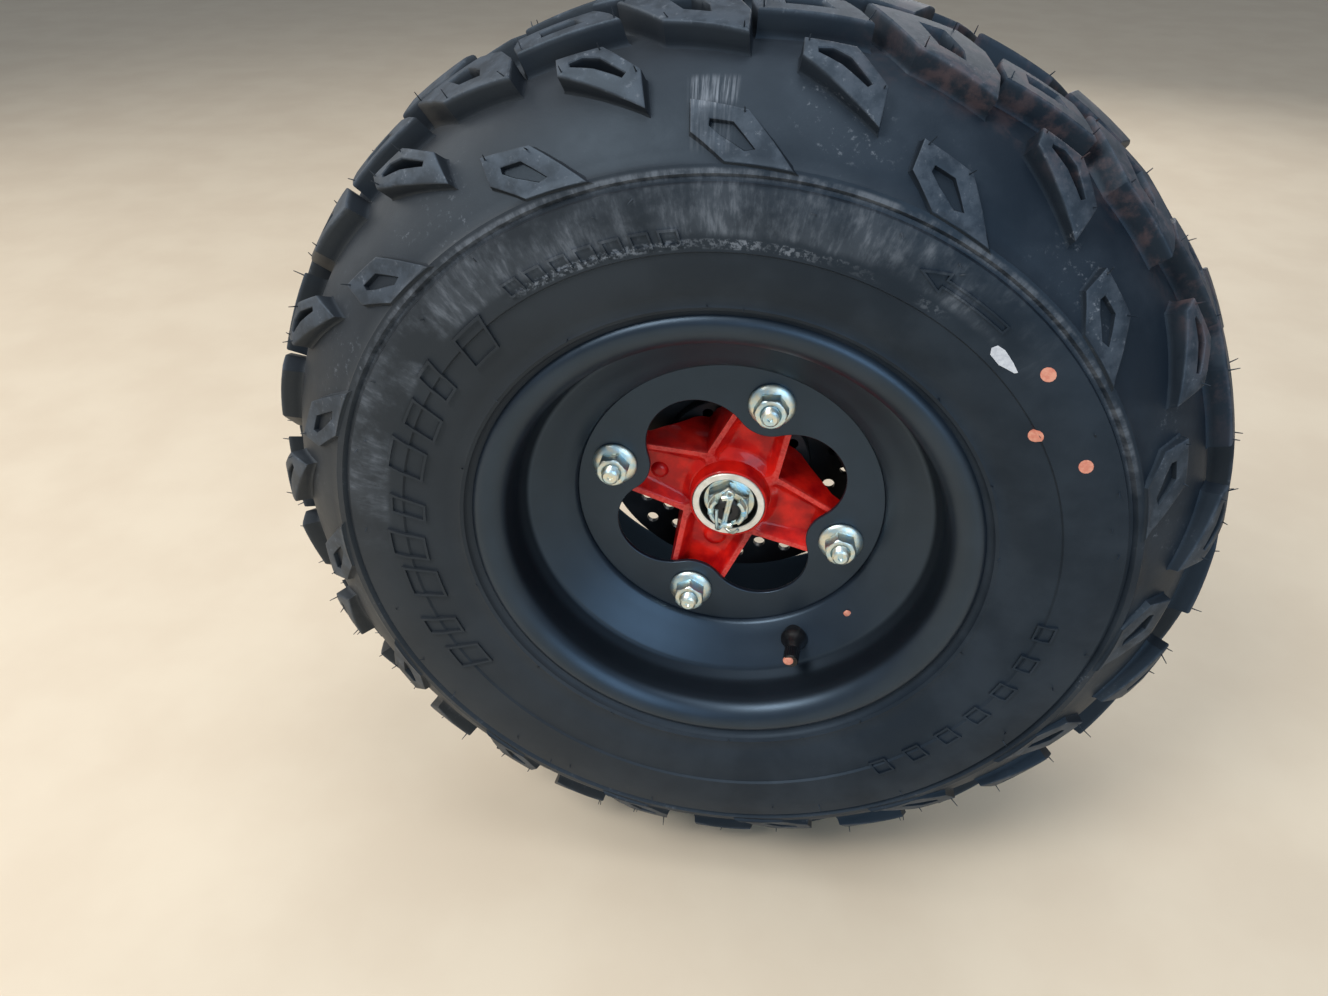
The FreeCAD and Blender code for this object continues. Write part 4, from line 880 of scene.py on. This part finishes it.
def make_stud(index, clock, zinc):
    """A wheel stud with its threaded end and its head behind the hub's arm."""
    work = bmesh.new()
    end = [(-44.2, 0), (-44.2, 1), (-45, 1.6), (-45, 3.9)]
    head = [(-27, 5), (-9.2, 5), (-9.2, 7.4), (-8.6, 8), (-5.6, 8), (-5, 7.4), (-5, 0)]
    turn_section(work, end + threaded(-44.2, -28, 5.0, 1.25) + head, 32)
    bmesh.ops.translate(work, vec=around(STUD_CIRCLE, clock), verts=work.verts)
    piece("stud_%d" % index, work, zinc, "wheel", ["wheel_stud_%d" % index], 30)


def make_washer(zinc):
    """The washer under the spindle's nut."""
    work = bmesh.new()
    turn_section(work, [(HUB_FACE, 8.2), (HUB_FACE, 15), (-22.7, 15.4), (-25.2, 15.4), (-25.6, 15),
                        (-25.6, 8.2)], 64, closed=True)
    piece("washer", work, zinc, "root", ["axle_washer"])


def make_slotted_nut(zinc):
    """The spindle's nut, with a crown of six petals for the split pin."""
    petals, sweep, first_petal = 6, math.radians(38), -19
    section = [(0, -34, 8.2), (0, -34, 11.6), (0, -38.6, 11.3), (0, -39.3, 10.7), (0, -39.6, 9.8),
               (0, -39.5, 8.9), (0, -38.6, 8.2)]
    work = bmesh.new()
    body = turn_section(work, [(-25.6, 8.1), (-25.6, 12.9), (-26.4, 13.9), (-32.6, 13.9), (-33.4, 13.2),
                               (-34.6, 12.0), (-34.6, 8.1)], 72, closed=True)
    flatten_sides(body, 24)
    for index in range(petals):
        part = bmesh.new()
        petal = part.faces.new(draw(part, section, closed=True)[0])
        turn_about(part, 360 / petals * index + first_petal)
        bmesh.ops.spin(part, geom=[petal], cent=(0, 0, 0), axis=(0, 1, 0), angle=sweep, steps=8)
        bmesh.ops.recalc_face_normals(part, faces=part.faces)
        join(work, part)
    piece("slotted_nut", work, zinc, "root", ["castle_nut"], 30)


def make_spindle(steel):
    """The spindle with its recessed threaded end, two bearing seats and shoulder."""
    end = [(-36.2, 0), (-36.2, 2), (-37.4, 3.2), (-37.6, 6.4), (-37, 7.2)]
    shaft = [(-22.2, 8), (-22.2, 9.9), (-9.9, 9.9), (-9.9, 12.4), (28.5, 12.4), (28.5, 15.8), (34, 15.8),
             (34, 20), (38, 20), (38, 14.9), (66, 14.9), (66, 0)]
    work = bmesh.new()
    turn_section(work, end + threaded(-36.6, -22.5, 7.9, 1.5) + shaft, 48)
    piece("spindle_turned", work, steel, "root", ["spindle"], 30)


def make_split_pin(zinc):
    """The split pin, one leg bent aside below and the other bent back up."""
    wire, turned = 1.05, 10
    eye_leg = [(-2.4, -37.3, 10.6), (-3.4, -37.6, 13.2), (-1.2, -38.4, 15.2), (1.2, -37.6, 13.4),
               (0.9, -37.1, 10.4), (0.7, -37.1, 0), (0.7, -37.1, -9), (1.4, -37.6, -11.6),
               (4.6, -40.2, -12.6), (7.6, -42.6, -10.2), (8.6, -43.2, -7)]
    other_leg = [(-2.4, -37.3, 10.6), (-1, -37.1, 9.8), (-0.8, -37.1, 0), (-0.8, -37.1, -9.6),
                 (-1.6, -38.6, -12.4), (-3.6, -41.4, -11.4), (-4.2, -43, -7.6), (-5.6, -43.4, -2),
                 (-6.4, -42.4, 3.0)]
    work = bmesh.new()
    rod(work, eye_leg, wire)
    rod(work, other_leg, wire)
    turn_about(work, turned)
    piece("split_pin", work, zinc, "root", ["cotter_pin"], 60)


def make_dust_ring(steel):
    """The bright ring pressed into the hub's nose."""
    work = bmesh.new()
    turn_section(work, [(HUB_FACE, 17.3), (HUB_FACE, 21.5), (-30.1, 21.6), (-30.5, 21.2), (-30.5, 17.9),
                        (-29.9, 17.3)], 96, closed=True)
    piece("dust_ring_turned", work, steel, "wheel", ["dust_ring"])


def rib_aside(along):
    """Half an arm's width at a distance from the axle."""
    return ARM_HALF - (along - ARM_STATIONS[0]) * ARM_TAPER


def arm_outline():
    """An arm's outline on its face: out along one side, round the tip and back."""
    side = [ARM_ROOT] + [(along, rib_aside(along)) for along in ARM_STATIONS]
    return [(along, ARM_FACE, aside) for along, aside in side + ARM_TIP + mirrored(side)]


def pocket_outline():
    """The edge of the pocket between an arm's ribs, which ends at the nose in an arc."""
    turns = [math.radians(turn) for turn in NOSE_TURNS]
    nose = [(NOSE_RADIUS * math.cos(turn), NOSE_RADIUS * math.sin(turn)) for turn in turns]
    outline = POCKET_SIDE + [POCKET_END] + mirrored(POCKET_SIDE) + nose
    return [(along, ARM_FACE, aside) for along, aside in outline]


def lay_arm(part, lower, mark):
    """Sinks the ribs towards the nose, marks their tops and slopes the outer walls to their foot."""
    for spot in part.verts:
        run = max(0.0, FALL_START - math.hypot(spot.co.x, spot.co.z))
        fall = ARM_FALL * min(1.0, run / FALL_RUN)
        if spot in lower:
            along = spot.co.x
            foot = between(ARM_FOOT, along)
            slope = DRAFT * (foot - spot.co.y - fall)
            spot.co.z += math.copysign(slope, spot.co.z) if along < 80 else 0
            spot.co.x += slope if along < 23 else 0
            spot.co.y = foot
        elif spot.co.y < ARM_FACE + 0.1:
            spot[mark] = 1
            spot.co.y += fall
        else:
            spot.co.y += fall * between(POCKET_FALL, spot.co.y)


def draw_arm(clock):
    """One arm of the hub: its ribs, the pocket between them and its outer walls."""
    part = bmesh.new()
    mark = part.verts.layers.float.new("height")
    _, edges = draw(part, arm_outline(), closed=True)
    hole, hole_edges = draw(part, pocket_outline(), closed=True)
    bmesh.ops.triangle_fill(part, edges=edges + hole_edges, use_beauty=True)
    base = part.faces.new(hole)
    base.normal_update()
    inward = -1 if base.normal.y < 0 else 1
    for thickness, depth in POCKET_WALL:
        inset(part, base, thickness, depth * inward)
    walls = bmesh.ops.extrude_edge_only(part, edges=edges)
    lower = {item for item in walls["geom"] if isinstance(item, bmesh.types.BMVert)}
    lay_arm(part, lower, mark)
    turn_about(part, clock - 90)
    return part


def draw_boss(clock, along, aside, radius, level):
    """A low round boss on the floor of the pocket in the arm at that clock."""
    boss = bmesh.new()
    turn_section(boss, [(level, 0), (level + 0.2, radius * 0.35), (level + 0.7, radius * 0.62),
                        (level + 1.6, radius * 0.85), (level + 3.2, radius), (level + 9, radius + 1.2)], 28)
    place = around(along, clock) + around(aside, clock + 90)
    bmesh.ops.translate(boss, vec=place, verts=boss.verts)
    return boss


def make_hub_casting(paint):
    """The red casting: four arms, the nose and the bosses."""
    work = bmesh.new()
    for clock in STUD_CLOCKS:
        join(work, draw_arm(clock))
    turn_section(work, [(HUB_FACE, 20.9), (HUB_FACE, 22), (-29.9, 22), (-30, 22.2), (-30, 22.7),
                        (-29.5, 23.3), (-26.5, 23.7), (-19, 24.4), (-15, 26), (-6, 28.2), (12, 30.6),
                        (13, 30.2), (13, 20.9)], 96, closed=True)
    for boss in BOSSES:
        join(work, draw_boss(*boss))
    piece("hub_cast", work, paint, "wheel", ["hub"], 34)


def make_disc_carrier(black):
    """The hub's inner end, with the flange that carries the brake disc, in black as painted shade."""
    work = bmesh.new()
    turn_section(work, [(13.2, 30.2), (13.2, 32.4), (15, 33.2), (15, 46.4), (15.6, 47), (24.4, 47),
                        (25, 46.4), (25, 32), (31.5, 32), (32, 31.5), (32, 23.6), (16, 23.6), (16, 21),
                        (-9.9, 18.6), (-9.9, 20.7), (13.2, 20.7)], 96, closed=True)
    # Painted shade: the hub's inner end behind the disc is given the black finish, as dark as the shade
    # there.
    piece("hub_carrier", work, black, "wheel", ["hub"], 34)


def make_floor(finish):
    """A plain floor under the tyre."""
    work = bmesh.new()
    bmesh.ops.create_grid(work, x_segments=1, y_segments=1, size=4)
    mesh = bpy.data.meshes.new("floor")
    work.to_mesh(mesh)
    work.free()
    mesh.transform(Matrix.Translation((0, 0, FLOOR)))
    mesh.materials.append(finish)
    floor = bpy.data.objects.new("floor", mesh)
    bpy.context.scene.collection.objects.link(floor)


def make_lamp(name, place, aim, size, power, colour):
    """A soft square lamp."""
    lamp = bpy.data.lights.new(name, "AREA")
    lamp.shape = "SQUARE"
    lamp.size = size
    lamp.energy = power
    lamp.color = colour
    holder = bpy.data.objects.new(name, lamp)
    holder.location = place
    holder.rotation_euler = (Vector(aim) - Vector(place)).to_track_quat("-Z", "Y").to_euler()
    bpy.context.scene.collection.objects.link(holder)


def make_light():
    """Plain soft light: cool from the front and above, warmer from the left."""
    world = bpy.data.worlds.new("room")
    world.use_nodes = True
    sky = world.node_tree.nodes["Background"]
    sky.inputs["Color"].default_value = (0.80, 0.89, 1.0, 1)
    sky.inputs["Strength"].default_value = 0.30
    bpy.context.scene.world = world
    for name, lamp in LAMPS.items():
        make_lamp(name, *lamp)


def make_camera():
    """The photograph's place, direction and lens."""
    camera = bpy.data.cameras.new("camera")
    camera.lens = 27.03
    camera.sensor_width = 36
    holder = bpy.data.objects.new("camera", camera)
    holder.location = (0.0368, -0.6177, 0.4176)
    holder.rotation_euler = Euler([math.radians(part) for part in (55.28, 0.25, 8.65)])
    bpy.context.scene.collection.objects.link(holder)
    bpy.context.scene.camera = holder


def make_finishes():
    """Every finish of the wheel, by its slot's name."""
    finishes = {"tyre_rubber": rubber_finish(), "rim_black": powder_finish(), "hub_red": red_finish(),
                "zinc": zinc_finish(), "bare_steel": turned_finish()}
    for name, sizes in BLACKS.items():
        finishes[name] = black_finish(name, *sizes)
    return finishes


def make_tyre(rubber, orange, white):
    """The tyre with its tread, hairs, side moulding and paint marks."""
    make_carcass(rubber)
    make_lugs(rubber)
    make_hairs(rubber)
    make_side_moulding(rubber)
    make_orange_dots(orange)
    make_white_stroke(white)


def make_wheel(finishes, orange):
    """The rim with its disc, valve, nuts and studs, and the hub."""
    make_rim(finishes["rim_black"])
    dress("wheel_disc", finishes["rim_black"], "wheel", 0.5)
    make_valve(finishes["seal_rubber"])
    make_valve_cap(finishes["seal_rubber"])
    make_valve_dab(orange)
    for index, clock in enumerate(STUD_CLOCKS, 1):
        make_flange_nut(index, clock, finishes["zinc"])
        make_stud(index, clock, finishes["zinc"])
    make_hub_casting(finishes["hub_red"])
    make_disc_carrier(finishes["disc_black"])


def make_axle(finishes):
    """The spindle with its washer, nut and pin, and the dust ring round them."""
    make_washer(finishes["zinc"])
    make_slotted_nut(finishes["zinc"])
    make_spindle(finishes["bare_steel"])
    make_split_pin(finishes["zinc"])
    make_dust_ring(finishes["bare_steel"])


def make_all():
    """The room and the whole wheel."""
    bpy.context.scene.view_settings.view_transform = "Standard"
    make_camera()
    make_light()
    make_floor(floor_finish())
    finishes = make_finishes()
    orange = mark_finish("orange_paint", (0.64, 0.21, 0.14), (0.72, 0.32, 0.22))
    white = mark_finish("white_paint", (0.62, 0.64, 0.68), (0.50, 0.52, 0.57))
    make_tyre(finishes["tyre_rubber"], orange, white)
    make_wheel(finishes, orange)
    make_axle(finishes)
    for node, body, slot, edge in DRESSED:
        dress(node, finishes[slot], body, edge)


make_all()
